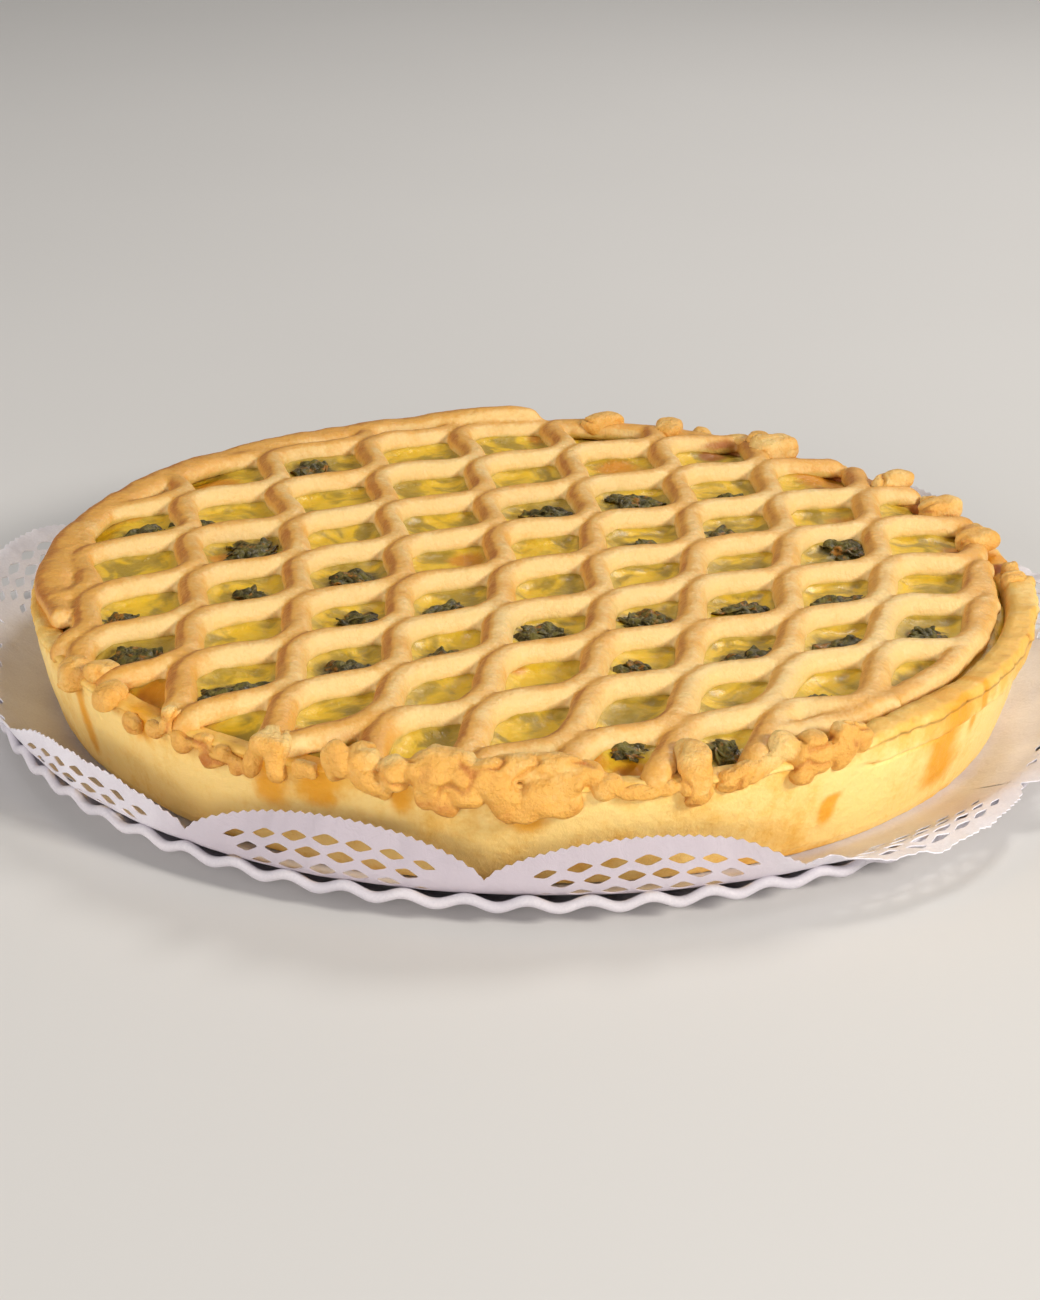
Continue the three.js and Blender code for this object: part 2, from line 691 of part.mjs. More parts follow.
function custard() {
  const body = new Body();
  const topRadius = hollowRadius(INSIDE_TOP) - GAP;
  const footRadius = hollowRadius(INSIDE_FOOT) - GAP;
  const rows = [[body.add(0, 0, fillingHeight(0, 0))]];
  for (let ring = 1; ring <= FILLING_RINGS; ring += 1) {
    const radius = (topRadius * ring) / FILLING_RINGS;
    rows.push(body.ring(6 * ring, (k) => {
      const [x, y] = polar(radius, (2 * Math.PI * k) / (6 * ring), 0);
      const z = ring === FILLING_RINGS ? FILLING_TOP - FILLING_SHOULDER : fillingHeight(x, y);
      return [x, y, z];
    }));
  }
  for (let ring = 1; ring <= FILLING_RINGS; ring += 1) {
    const outer = rows[ring];
    const innerRow = rows[ring - 1];
    for (let side = 0; side < 6; side += 1) {
      for (let k = 0; k < ring; k += 1) {
        const a = outer[(side * ring + k) % outer.length];
        const b = outer[(side * ring + k + 1) % outer.length];
        const c = innerRow[(side * (ring - 1) + k) % innerRow.length];
        body.faces.push(a, b, c);
        if (k + 1 < ring) {
          const d = innerRow[(side * (ring - 1) + k + 1) % innerRow.length];
          body.faces.push(b, d, c);
        }
      }
    }
  }
  const rim = rows[FILLING_RINGS];
  const floor = CRUST_BASE + CRUST_FLOOR + GAP;
  const foot = body.ring(rim.length, (k) => polar(footRadius, (2 * Math.PI * k) / rim.length, floor));
  body.band(foot, rim);
  body.cap(foot, body.add(0, 0, floor), false);
  return body.geometry();
}

// A wilted leaf: a thin wavy solid whose two faces are split alike
function leaf(centre, seed) {
  const body = new Body();
  const random = seeded(seed);
  const turn = random() * Math.PI;
  const columns = 3;
  const lines = 2;
  const length = LEAF_LENGTH[0] + LEAF_LENGTH[1] * random();
  const width = LEAF_WIDTH[0] + LEAF_WIDTH[1] * random();
  const base = FILLING_TOP + LEAF_LIFT;
  const grid = (lift) => {
    const rows = [];
    for (let line = 0; line <= lines; line += 1) {
      const v = line / lines - 0.5;
      const row = [];
      for (let column = 0; column <= columns; column += 1) {
        const u = column / columns - 0.5;
        const narrow = 1 - 1.2 * u * u;
        const x = length * u * Math.cos(turn) - width * v * narrow * Math.sin(turn);
        const y = length * u * Math.sin(turn) + width * v * narrow * Math.cos(turn);
        const fold = LEAF_FOLD * Math.sin(5.5 * u + 6 * v + seed);
        row.push(body.add(centre.x + x, centre.y + y, base + fold + lift));
      }
      rows.push(row);
    }
    return rows;
  };
  const under = grid(-LEAF_THICKNESS);
  const over = grid(0);
  for (let line = 0; line < lines; line += 1) {
    for (let column = 0; column < columns; column += 1) {
      const cell = (rows) => [
        rows[line][column], rows[line][column + 1],
        rows[line + 1][column + 1], rows[line + 1][column],
      ];
      const [a, b, c, d] = cell(over);
      body.faces.push(a, b, c, a, c, d);
      const [p, q, r, s] = cell(under);
      body.faces.push(p, r, q, p, s, r);
    }
  }
  const edgeOf = (rows) => [
    ...rows[0].slice(0, -1),
    ...rows.slice(0, -1).map((row) => row[columns]),
    ...rows[lines].slice(1).reverse(),
    ...rows.slice(1).map((row) => row[0]).reverse(),
  ];
  body.band(edgeOf(under), edgeOf(over));
  return body.geometry();
}

// Custard with the leaves that show in some of the windows
function filling() {
  let solid = solidFrom(custard());
  const random = seeded(77);
  const places = [];
  for (let i = -4; i <= 4; i += 1) {
    for (let j = -4; j <= 4; j += 1) {
      const centre = middleOfWindow(i, j);
      if (centre.length() < LEAF_REACH) {
        places.push({ centre, order: random() });
      }
    }
  }
  places.sort((first, second) => first.order - second.order);
  places.slice(0, LEAF_COUNT).forEach(({ centre }, index) => {
    solid = solid.add(solidFrom(leaf(centre, 300 + index)));
  });
  return named("filling", geometryFrom(largest(solid)), CUSTARD_YELLOW, 0.4);
}

function crust() {
  return named("crust", crustShell(0, true), DOUGH_GOLD, 0.75);
}

const quiche = new THREE.Group();
quiche.add(plate(), doily(), crust(), filling(), lattice());

export default quiche;
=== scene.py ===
"""A whole round quiche with an open lattice top, on its lace doily and fluted paper plate.

The sizes in the classes are millimetres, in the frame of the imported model: +Z is up, the
origin is the middle of the plate's underside, and the front is -Y. Meshes are in metres.
"""

import logging
import math
from dataclasses import dataclass
from enum import Enum
from itertools import product
from typing import Callable, Sequence

import bpy
import numpy as np
from mathutils import Matrix, Vector


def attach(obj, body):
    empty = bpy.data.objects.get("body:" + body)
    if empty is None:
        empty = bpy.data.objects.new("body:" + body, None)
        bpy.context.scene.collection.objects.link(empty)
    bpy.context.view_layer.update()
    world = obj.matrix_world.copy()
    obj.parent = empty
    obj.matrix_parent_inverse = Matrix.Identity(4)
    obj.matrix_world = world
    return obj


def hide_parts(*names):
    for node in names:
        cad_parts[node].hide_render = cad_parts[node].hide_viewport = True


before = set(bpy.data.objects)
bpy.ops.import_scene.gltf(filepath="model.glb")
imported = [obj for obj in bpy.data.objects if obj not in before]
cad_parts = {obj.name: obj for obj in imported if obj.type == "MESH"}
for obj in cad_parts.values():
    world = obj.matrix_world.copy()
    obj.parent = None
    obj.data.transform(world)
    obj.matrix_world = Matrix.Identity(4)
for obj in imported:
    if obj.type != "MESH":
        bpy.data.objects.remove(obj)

logging.basicConfig(level=logging.INFO, format="%(name)s: %(message)s")
log = logging.getLogger("quiche")

MM = 0.001
PHOTO_HEIGHT_PX = 1300
MOST_TRIANGLES = 196_000
Colour = tuple[float, float, float]
Spot = tuple[float, float, float]


class Slot(Enum):
    """Material slots of the record."""

    PLATE = "plate"
    DOILY = "doily"
    CRUST = "crust"
    FILLING = "filling"
    LATTICE = "lattice"


def smooth(low: float, high: float, value: np.ndarray | float) -> np.ndarray | float:
    """A soft step.

    Args:
        low: Where the step starts.
        high: Where it ends.
        value: The numbers to step.

    Returns:
        0 below `low`, 1 above `high`, and an S-curve between.
    """
    share = np.clip((value - low) / (high - low), 0.0, 1.0)
    return share * share * (3.0 - 2.0 * share)


def seeded(seed: int) -> Callable[[], float]:
    """A repeatable draw of numbers from 0 to 1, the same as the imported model's.

    Args:
        seed: Where the row of numbers starts.

    Returns:
        A function that gives the next number.
    """
    mask = 0xFFFFFFFF
    state = seed & mask

    def draw() -> float:
        """The next number."""
        nonlocal state
        state = (state + 0x6D2B79F5) & mask
        value = state
        value = ((value ^ (value >> 15)) * (value | 1)) & mask
        value ^= (value + ((value ^ (value >> 7)) * (value | 61))) & mask
        return ((value ^ (value >> 14)) & mask) / 4294967296

    return draw


def degrees_of(points: np.ndarray) -> np.ndarray:
    """Angle of each point round the pie, in degrees from 0 to 360."""
    return np.degrees(np.arctan2(points[:, 1], points[:, 0])) % 360


def radius_of(points: np.ndarray) -> np.ndarray:
    """Distance of each point from the pie's axis."""
    return np.hypot(points[:, 0], points[:, 1])


def polar(radius: float, degrees: float) -> np.ndarray:
    """The plan position at a radius and an angle."""
    angle = math.radians(degrees)
    return np.array([radius * math.cos(angle), radius * math.sin(angle)])


def off(degrees: np.ndarray, angle: float) -> np.ndarray:
    """How far each angle lies past another one, in degrees from -180 to 180."""
    return (degrees - angle + 180) % 360 - 180


def bell(away: np.ndarray, width: float) -> np.ndarray:
    """A soft spot: 1 where `away` is 0, and 1/e where it is `width`."""
    return np.exp(-((away / width) ** 2))


def near_spots(points: np.ndarray, spots: Sequence[Spot], spread: float = 1.0) -> np.ndarray:
    """How near each point is to the nearest of some spots.

    Args:
        points: Rows of x, y and more.
        spots: x, y and size of each.
        spread: Multiplies their sizes.

    Returns:
        1 at a spot, falling to 0 round it.
    """
    nearest = np.zeros(len(points))
    for x, y, size in spots:
        away = np.hypot(points[:, 0] - x, points[:, 1] - y)
        nearest = np.maximum(nearest, bell(away, size * spread))
    return nearest


class Grain:
    """Seeded gradient noise over points."""

    def __init__(self, seed: int) -> None:
        """Draws the noise's table.

        Args:
            seed: Which noise it is.
        """
        draw = np.random.default_rng(seed)
        self.table = draw.permutation(256)
        slopes = draw.normal(size=(256, 3))
        self.slopes = slopes / np.linalg.norm(slopes, axis=1)[:, None]

    def at(self, points: np.ndarray, size: float | Sequence[float]) -> np.ndarray:
        """The noise at each point.

        Args:
            points: Rows of x, y and z.
            size: Size of one bump, the same all ways or one for each axis.

        Returns:
            One number a point, from about -1 to 1.
        """
        scaled = points / np.asarray(size, float)
        cell = np.floor(scaled).astype(int)
        local = scaled - cell
        fade = local**3 * (local * (local * 6 - 15) + 10)
        total = np.zeros(len(points))
        for corner in product((0, 1), repeat=3):
            x, y, z = (cell[:, axis] + corner[axis] for axis in range(3))
            index = self.table[(self.table[(self.table[x & 255] + y) & 255] + z) & 255]
            weight = np.ones(len(points))
            for axis in range(3):
                weight = weight * (fade[:, axis] if corner[axis] else 1 - fade[:, axis])
            total += weight * np.einsum("ij,ij->i", self.slopes[index], local - corner)
        return 1.6 * total

    def layered(self, points: np.ndarray, size: float, layers: int = 3) -> np.ndarray:
        """Noise with finer noise on it.

        Args:
            points: Rows of x, y and z.
            size: Size of the largest bumps.
            layers: How many sizes, each half of the one before.

        Returns:
            One number a point, from about -1 to 1.
        """
        total = np.zeros(len(points))
        for layer in range(layers):
            total += self.at(points + 31.7 * layer, size / 2**layer) / 2**layer
        return total / 1.6


@dataclass(frozen=True)
class Bumps:
    """Relief of one kind: its seed, the size of its largest bumps, its layers and height."""

    seed: int
    size: float
    layers: int
    height: float = 1.0

    def at(self, points: np.ndarray) -> np.ndarray:
        """The relief's height at each point."""
        return self.height * Grain(self.seed).layered(points, self.size, self.layers)


class Bench:
    """Blender's hand tools, used on one object at a time."""

    @staticmethod
    def pick(*pieces: bpy.types.Object) -> None:
        """Selects only these objects; the first is the active one."""
        bpy.ops.object.select_all(action="DESELECT")
        for piece in pieces:
            piece.select_set(True)
        bpy.context.view_layer.objects.active = pieces[0]

    @staticmethod
    def edit(piece: bpy.types.Object) -> None:
        """Opens an object in edit mode with everything selected."""
        Bench.pick(piece)
        bpy.ops.object.mode_set(mode="EDIT")
        bpy.ops.mesh.select_mode(type="VERT")
        bpy.ops.mesh.select_all(action="SELECT")

    @staticmethod
    def done() -> None:
        """Closes edit mode."""
        bpy.ops.object.mode_set(mode="OBJECT")

    @staticmethod
    def choose(piece: bpy.types.Object, kind: str, test: Callable[[object], bool]) -> None:
        """Opens an object in edit mode with only some edges or faces selected.

        Args:
            piece: The object.
            kind: EDGE or FACE.
            test: Says whether one edge or face is selected.
        """
        parts = "edges" if kind == "EDGE" else "polygons"
        chosen = [test(part) for part in getattr(piece.data, parts)]
        Bench.pick(piece)
        bpy.ops.object.mode_set(mode="EDIT")
        bpy.ops.mesh.select_mode(type=kind)
        bpy.ops.mesh.select_all(action="DESELECT")
        Bench.done()
        getattr(piece.data, parts).foreach_set("select", chosen)
        bpy.ops.object.mode_set(mode="EDIT")

    @staticmethod
    def modify(piece: bpy.types.Object, kind: str, **settings: object) -> None:
        """Adds a modifier and applies it.

        Args:
            piece: The object.
            kind: The modifier's type.
            settings: Its settings.
        """
        Bench.pick(piece)
        modifier = piece.modifiers.new(kind.title(), kind)
        for key, value in settings.items():
            setattr(modifier, key, value)
        bpy.ops.object.modifier_apply(modifier=modifier.name)

    @staticmethod
    def baked(pile: "Pile", name: str, voxel: float) -> bpy.types.Object:
        """Bakes the bodies on a pile into one, and rounds it a little.

        Args:
            pile: The bodies.
            name: The piece's name.

        Returns:
            The piece.
        """
        piece = pile.piece(name)
        size = voxel * 1.0 * MM
        Bench.modify(piece, "REMESH", mode="VOXEL", voxel_size=size)
        Bench.modify(piece, "SMOOTH", factor=0.5, iterations=3)
        return piece

    @staticmethod
    def named(piece: bpy.types.Object, name: str) -> bpy.types.Object:
        """Gives an object and its mesh a name."""
        piece.name = name
        piece.data.name = name
        return piece

    @staticmethod
    def discard(*pieces: bpy.types.Object) -> None:
        """Takes objects off the bench with their meshes."""
        for piece in pieces:
            mesh = piece.data
            bpy.data.objects.remove(piece, do_unlink=True)
            bpy.data.meshes.remove(mesh)

    @staticmethod
    def points(piece: bpy.types.Object) -> np.ndarray:
        """An object's vertices in millimetres, one row each."""
        flat = np.empty(3 * len(piece.data.vertices))
        piece.data.vertices.foreach_get("co", flat)
        return flat.reshape(-1, 3) / MM

    @staticmethod
    def reshape(piece: bpy.types.Object, points: np.ndarray) -> None:
        """Moves an object's vertices to new places, given in millimetres."""
        piece.data.vertices.foreach_set("co", (points * MM).ravel())
        piece.data.update()

    @staticmethod
    def normals(piece: bpy.types.Object) -> np.ndarray:
        """An object's vertex normals, one row each."""
        flat = np.empty(3 * len(piece.data.vertices))
        piece.data.vertex_normals.foreach_get("vector", flat)
        return flat.reshape(-1, 3)

    @staticmethod
    def corners(piece: bpy.types.Object) -> list[tuple[int, ...]]:
        """An object's faces, as rows of vertex numbers."""
        return [tuple(face.vertices) for face in piece.data.polygons]

    @staticmethod
    def template(piece: bpy.types.Object) -> tuple[np.ndarray, list[tuple[int, ...]]]:
        """Takes an object off the bench and keeps its vertices in millimetres and its faces."""
        shape = Bench.points(piece), Bench.corners(piece)
        Bench.discard(piece)
        return shape

    @staticmethod
    def tag(piece: bpy.types.Object, name: str, values: np.ndarray) -> None:
        """Stores a number for each vertex, which a finish reads by name."""
        layer = piece.data.attributes.new(name, "FLOAT", "POINT")
        layer.data.foreach_set("value", np.clip(values, 0, 1).astype(np.float32))

    @staticmethod
    def soften(piece: bpy.types.Object, degrees: float | None = None) -> None:
        """Shades an object smooth, all over or up to an angle."""
        Bench.pick(piece)
        if degrees is None:
            bpy.ops.object.shade_smooth()
        else:
            bpy.ops.object.shade_smooth_by_angle(angle=math.radians(degrees))

    @staticmethod
    def spun(name: str, profile: Sequence[tuple[float, float]], steps: int) -> bpy.types.Object:
        """Turns a profile round the pie's axis.

        Args:
            name: The piece's name.
            profile: Radius and height of each point, from axis to axis.
            steps: Number of steps in the whole turn.

        Returns:
            A closed piece whose faces point outwards.
        """
        mesh = bpy.data.meshes.new(name)
        points = [(radius * MM, 0.0, height * MM) for radius, height in profile]
        mesh.from_pydata(points, [(k, k + 1) for k in range(len(points) - 1)], [])
        piece = bpy.data.objects.new(name, mesh)
        bpy.context.collection.objects.link(piece)
        Bench.edit(piece)
        bpy.ops.mesh.spin(steps=steps, angle=2 * math.pi, center=(0, 0, 0), axis=(0, 0, 1))
        bpy.ops.mesh.select_all(action="SELECT")
        bpy.ops.mesh.remove_doubles(threshold=1e-6)
        bpy.ops.mesh.normals_make_consistent(inside=False)
        Bench.done()
        return piece


class Pile:
    """Closed bodies collected to become one piece."""

    def __init__(self) -> None:
        """Starts with nothing on it."""
        self.points: list[np.ndarray] = []
        self.faces: list[tuple[int, ...]] = []
        self.count = 0

    def add(self, points: np.ndarray, faces: Sequence[tuple[int, ...]]) -> None:
        """Lays a body on the pile.

        Args:
            points: Its vertices in millimetres.
            faces: Its faces, as rows of its own vertex numbers.
        """
        self.points.append(points)
        self.faces.extend(tuple(corner + self.count for corner in face) for face in faces)
        self.count += len(points)

    def piece(self, name: str) -> bpy.types.Object:
        """Makes one object of all the bodies."""
        mesh = bpy.data.meshes.new(name)
        mesh.from_pydata((np.concatenate(self.points) * MM).tolist(), [], self.faces)
        mesh.update()
        piece = bpy.data.objects.new(name, mesh)
        bpy.context.collection.objects.link(piece)
        return piece


class Recipe:
    """Lays out one material's nodes, left to right."""

    def __init__(self, name: str) -> None:
        """Starts a material with one shader.

        Args:
            name: The material's name.
        """
        self.material = bpy.data.materials.new(name)
        self.material.use_nodes = True
        self.tree = self.material.node_tree
        self.shader = self.tree.nodes["Principled BSDF"]
        self.place = self.add("ShaderNodeTexCoord").outputs["Object"]

    def add(self, kind: str, sockets: dict[str | int, object] | None = None,
            **settings: object) -> bpy.types.Node:
        """Adds a node.

        Args:
            kind: Its type.
            sockets: What its inputs are linked or set to.
            settings: Its settings.

        Returns:
            The node.
        """
        node = self.tree.nodes.new(kind)
        for key, value in settings.items():
            setattr(node, key, value)
        for key, value in (sockets or {}).items():
            self.feed(node.inputs[key], value)
        return node

    def feed(self, socket: bpy.types.NodeSocket, value: object) -> None:
        """Links or sets a socket.

        Args:
            socket: The input.
            value: Another node's output, a number or a colour.
        """
        if isinstance(value, bpy.types.NodeSocket):
            self.tree.links.new(value, socket)
        elif isinstance(value, tuple) and socket.type == "RGBA":
            socket.default_value = (*value, 1.0)
        else:
            socket.default_value = value

    def stored(self, name: str) -> bpy.types.NodeSocket:
        """The number that a mesh keeps under a name."""
        return self.add("ShaderNodeAttribute", attribute_name=name).outputs["Fac"]

    def noise(self, size_mm: float | Sequence[float], detail: float = 3.0,
              rough: float = 0.55, warp: float = 0.0) -> bpy.types.NodeSocket:
        """Cloudy noise over the object.

        Args:
            size_mm: Size of a patch, the same all ways or one for each axis.
            detail: How many finer layers it has.
            rough: How strong they are.
            warp: How much it is twisted.

        Returns:
            The noise, from 0 to 1.
        """
        if isinstance(size_mm, (int, float)):
            place, scale = self.place, 1 / (size_mm * MM)
        else:
            scales = [1 / (size * MM) for size in size_mm]
            mapping = self.add("ShaderNodeMapping", {"Scale": scales, "Vector": self.place})
            place, scale = mapping.outputs["Vector"], 1.0
        return self.add("ShaderNodeTexNoise", {
            "Scale": scale, "Vector": place, "Detail": detail, "Roughness": rough,
            "Distortion": warp,
        }).outputs["Fac"]

    def cells(self, size_mm: float, feature: str = "F1") -> bpy.types.NodeSocket:
        """Distance in a pattern of cells, of about a size."""
        sockets = {"Scale": 1 / (size_mm * MM), "Vector": self.place}
        return self.add("ShaderNodeTexVoronoi", sockets, feature=feature).outputs["Distance"]

    def sum(self, *terms: tuple[object, float], start: float = 0.0) -> bpy.types.NodeSocket:
        """Adds inputs, each times a weight.

        Args:
            terms: An input and its weight, one pair each.
            start: Added to them.

        Returns:
            The weighted sum.
        """
        total = start
        for value, weight in terms:
            sockets = {0: value, 1: weight, 2: total}
            total = self.add("ShaderNodeMath", sockets, operation="MULTIPLY_ADD").outputs[0]
        return total

    def step(self, value: object, low: float, high: float,
             to: tuple[float, float] = (0.0, 1.0)) -> bpy.types.NodeSocket:
        """A soft step from one number to another.

        Args:
            value: The input.
            low: Where the step starts.
            high: Where it ends.
            to: The result below and above.

        Returns:
            The stepped input.
        """
        return self.add("ShaderNodeMapRange", {
            "Value": value, "From Min": low, "From Max": high, "To Min": to[0], "To Max": to[1],
        }, interpolation_type="SMOOTHSTEP").outputs["Result"]

    def mix(self, share: object, below: object, above: object) -> bpy.types.NodeSocket:
        """Mixes two colours: `below` where the share is 0 and `above` where it is 1."""
        sockets = {0: share, 6: below, 7: above}
        return self.add("ShaderNodeMix", sockets, data_type="RGBA").outputs[2]

    def bump(self, height: object, depth_mm: float, under: object = None) -> bpy.types.NodeSocket:
        """Fine relief.

        Args:
            height: The relief, from 0 to 1.
            depth_mm: How deep it is.
            under: Relief that it lies on.

        Returns:
            The normal to shade with.
        """
        sockets = {"Strength": 1.0, "Distance": depth_mm * MM, "Height": height}
        if under is not None:
            sockets["Normal"] = under
        return self.add("ShaderNodeBump", sockets).outputs["Normal"]

    def finish(self, colour: object, rough: object, normal: object,
               **constants: object) -> bpy.types.Material:
        """Wires the shader.

        Args:
            colour: Its base colour.
            rough: Its roughness.
            normal: Its normal.
            constants: Other shader inputs, by name with underscores for spaces.

        Returns:
            The material.
        """
        sockets = {"Base Color": colour, "Roughness": rough, "Normal": normal}
        sockets |= {key.replace("_", " "): value for key, value in constants.items()}
        for key, value in sockets.items():
            self.feed(self.shader.inputs[key], value)
        return self.material


def settle(piece: bpy.types.Object, material: bpy.types.Material,
           replaces: str | None = None) -> None:
    """Dresses a piece and fixes it to the model.

    Args:
        piece: The finished mesh object.
        material: Its material.
        replaces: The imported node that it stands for.
    """
    piece.data.materials.clear()
    piece.data.materials.append(material)
    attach(piece, "root")
    if replaces is not None:
        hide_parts(replaces)
    triangles = sum(len(face.vertices) - 2 for face in piece.data.polygons)
    log.info("%s: %d triangles", piece.name, triangles)


@dataclass(frozen=True)
class DoughFinish:
    """Baked dough: pale where it is thick and damp, gold to brown where it is dry or thin.
    The stored toast it reads also holds painted shade and painted light that some pieces add.

    `streak` and `mottle` say how much upright streaks and large clouds brown it, and
    `flake_mm` and `relief_mm` how deep its crumb and its bumps are.
    """

    name: str
    pale: Colour
    gold: Colour
    brown: Colour
    scorched: Colour = (0.10, 0.018, 0.006)
    soaked: Colour = (0.60, 0.44, 0.11)
    streak: float = 0.0
    mottle: float = 0.5
    flake_mm: float = 0.16
    relief_mm: float = 0.7
    roughness: tuple[float, float] = (0.42, 0.6)

    def material(self) -> bpy.types.Material:
        """Makes the material; it reads the stored toast (browning with painted shade and light),
        scorch and moist.
        """
        recipe = Recipe(self.name)
        cloud = recipe.noise(19.0, detail=3, warp=0.4)
        blotch = recipe.noise(5.5, detail=4, rough=0.6)
        speck = recipe.noise(1.1, detail=4, rough=0.65)
        drawn = recipe.noise((6.0, 6.0, 55.0), detail=3, rough=0.6)
        toast_and_shading = recipe.sum(
            (recipe.stored("toast_and_shading"), 1.0), (cloud, self.mottle), (blotch, 0.6), (speck, 0.42),
            (drawn, self.streak), start=-0.51 - 0.5 * (self.mottle + self.streak),
        )
        colour = recipe.mix(recipe.step(toast_and_shading, 0.05, 0.62), self.pale, self.gold)
        colour = recipe.mix(recipe.step(toast_and_shading, 0.62, 1.25), colour, self.brown)
        scorch = recipe.sum((recipe.stored("scorch"), 1.5), (blotch, 0.7), start=-0.6)
        colour = recipe.mix(recipe.step(scorch, 0.25, 0.95), colour, self.scorched)
        moist = recipe.sum((recipe.stored("moist"), 1.0), (blotch, 0.6), start=-0.3)
        colour = recipe.mix(recipe.step(moist, 0.1, 0.9, (0.0, 0.85)), colour, self.soaked)
        crumb = recipe.noise(0.55, detail=5, rough=0.7)
        pits = recipe.cells(1.9)
        relief = recipe.bump(recipe.sum((crumb, 0.7), (pits, 0.3)), self.flake_mm)
        relief = recipe.bump(recipe.noise(3.0, detail=4, rough=0.62), self.relief_mm, relief)
        rough = recipe.step(recipe.sum((speck, 0.6), (blotch, 0.4)), 0.3, 0.7, self.roughness)
        return recipe.finish(
            colour, rough, relief, Subsurface_Weight=0.12,
            Subsurface_Radius=(0.0035, 0.0018, 0.0007), Subsurface_Scale=1.0,
            Specular_IOR_Level=0.5,
        )


@dataclass(frozen=True)
class CustardFinish:
    """Moist custard: yellow to green, pale at the dough, with baked and burnt spots."""

    name: str = "custard_skin"
    yellow: Colour = (0.82, 0.52, 0.018)
    green: Colour = (0.38, 0.25, 0.018)
    cream: Colour = (0.74, 0.52, 0.105)
    leafy: Colour = (0.075, 0.062, 0.018)
    golden: Colour = (0.66, 0.26, 0.006)
    burnt: Colour = (0.33, 0.11, 0.006)

    def material(self) -> bpy.types.Material:
        """Makes the material; it reads the stored leaf, baked, scorch and cream."""
        recipe = Recipe(self.name)
        cloud = recipe.noise(13.0, detail=3, warp=0.8)
        patch = recipe.noise(4.2, detail=4, rough=0.6, warp=0.6)
        speck = recipe.noise(1.2, detail=4, rough=0.65)
        colour = recipe.mix(recipe.step(cloud, 0.42, 0.6), self.yellow, self.green)
        cream = recipe.sum((recipe.stored("cream"), 0.7), (patch, 1.0), start=-0.5)
        colour = recipe.mix(recipe.step(cream, 0.15, 0.8, (0.0, 0.8)), colour, self.cream)
        leaf = recipe.sum((recipe.stored("leaf"), 1.2), (patch, 0.9), (speck, 0.3), start=-1.0)
        colour = recipe.mix(recipe.step(leaf, 0.1, 0.55, (0.0, 0.9)), colour, self.leafy)
        baked = recipe.sum((recipe.stored("baked"), 1.3), (patch, 0.8), start=-0.72)
        colour = recipe.mix(recipe.step(baked, 0.15, 0.75), colour, self.golden)
        scorch = recipe.sum((recipe.stored("scorch"), 1.4), (speck, 0.5), start=-0.65)
        colour = recipe.mix(recipe.step(scorch, 0.15, 0.7), colour, self.burnt)
        wrinkle = recipe.noise(1.6, detail=5, rough=0.62, warp=0.5)
        relief = recipe.bump(wrinkle, 0.3)
        relief = recipe.bump(recipe.cells(3.1, "SMOOTH_F1"), 0.3, relief)
        rough = recipe.step(patch, 0.35, 0.7, (0.32, 0.56))
        return recipe.finish(
            colour, rough, relief, Subsurface_Weight=0.25,
            Subsurface_Radius=(0.004, 0.0028, 0.0008), Subsurface_Scale=1.0,
            Coat_Weight=0.15, Coat_Roughness=0.2, Specular_IOR_Level=0.4,
        )


@dataclass(frozen=True)
class LeafFinish:
    """Wilted spinach: near black, with green at the folds and paler veins."""

    name: str = "wilted_spinach"
    dark: Colour = (0.045, 0.036, 0.011)
    green: Colour = (0.15, 0.125, 0.022)
    toasted: Colour = (0.40, 0.15, 0.015)
    vein: Colour = (0.24, 0.19, 0.06)

    def material(self) -> bpy.types.Material:
        """Makes the material."""
        recipe = Recipe(self.name)
        patch = recipe.noise(3.0, detail=4, rough=0.6)
        colour = recipe.mix(recipe.step(patch, 0.40, 0.66), self.dark, self.green)
        tips = recipe.noise(5.0, detail=4, rough=0.7)
        colour = recipe.mix(recipe.step(tips, 0.54, 0.66, (0.0, 0.8)), colour, self.toasted)
        veins = recipe.step(recipe.cells(2.2, "DISTANCE_TO_EDGE"), 0.0, 0.09, (0.45, 0.0))
        colour = recipe.mix(veins, colour, self.vein)
        relief = recipe.bump(recipe.cells(1.4, "DISTANCE_TO_EDGE"), 0.35)
        relief = recipe.bump(recipe.noise(0.8, detail=3), 0.2, relief)
        rough = recipe.step(patch, 0.3, 0.7, (0.34, 0.6))
        return recipe.finish(
            colour, rough, relief, Coat_Weight=0.06, Coat_Roughness=0.3, Specular_IOR_Level=0.25,
        )


@dataclass(frozen=True)
class PaperFinish:
    """White paper with a felt of fibres and faint pressed streaks."""

    name: str
    white: Colour = (0.84, 0.83, 0.91)
    shade: Colour = (0.72, 0.70, 0.78)
    # Darker tone for the upright doily lobes: painted shade, partly greasy paper.
    shaded_greasy: Colour = (0.46, 0.41, 0.47)
    fibre_mm: float = 0.05
    crease_mm: float = 0.12
    rough: tuple[float, float] = (0.55, 0.75)
    glow: float = 0.12

    def material(self) -> bpy.types.Material:
        """Makes the material."""
        recipe = Recipe(self.name)
        cloud = recipe.noise(22.0, detail=2)
        fibre = recipe.noise(0.7, detail=5, rough=0.7)
        tone = recipe.sum((cloud, 0.6), (fibre, 0.4))
        colour = recipe.mix(recipe.step(tone, 0.35, 0.65), self.white, self.shade)
        # Painted shade where the stored number says, partly greasy paper.
        shade_and_grease = recipe.sum((recipe.stored("shade_and_grease"), 1.0), (cloud, 0.4), start=-0.2)
        colour = recipe.mix(recipe.step(shade_and_grease, 0.1, 0.9), colour, self.shaded_greasy)
        relief = recipe.bump(fibre, self.fibre_mm)
        relief = recipe.bump(recipe.noise(4.5, detail=3, warp=1.2), self.crease_mm, relief)
        rough = recipe.step(fibre, 0.3, 0.7, self.rough)
        return recipe.finish(
            colour, rough, relief, Subsurface_Weight=self.glow,
            Subsurface_Radius=(0.002, 0.002, 0.002), Subsurface_Scale=1.0,
        )


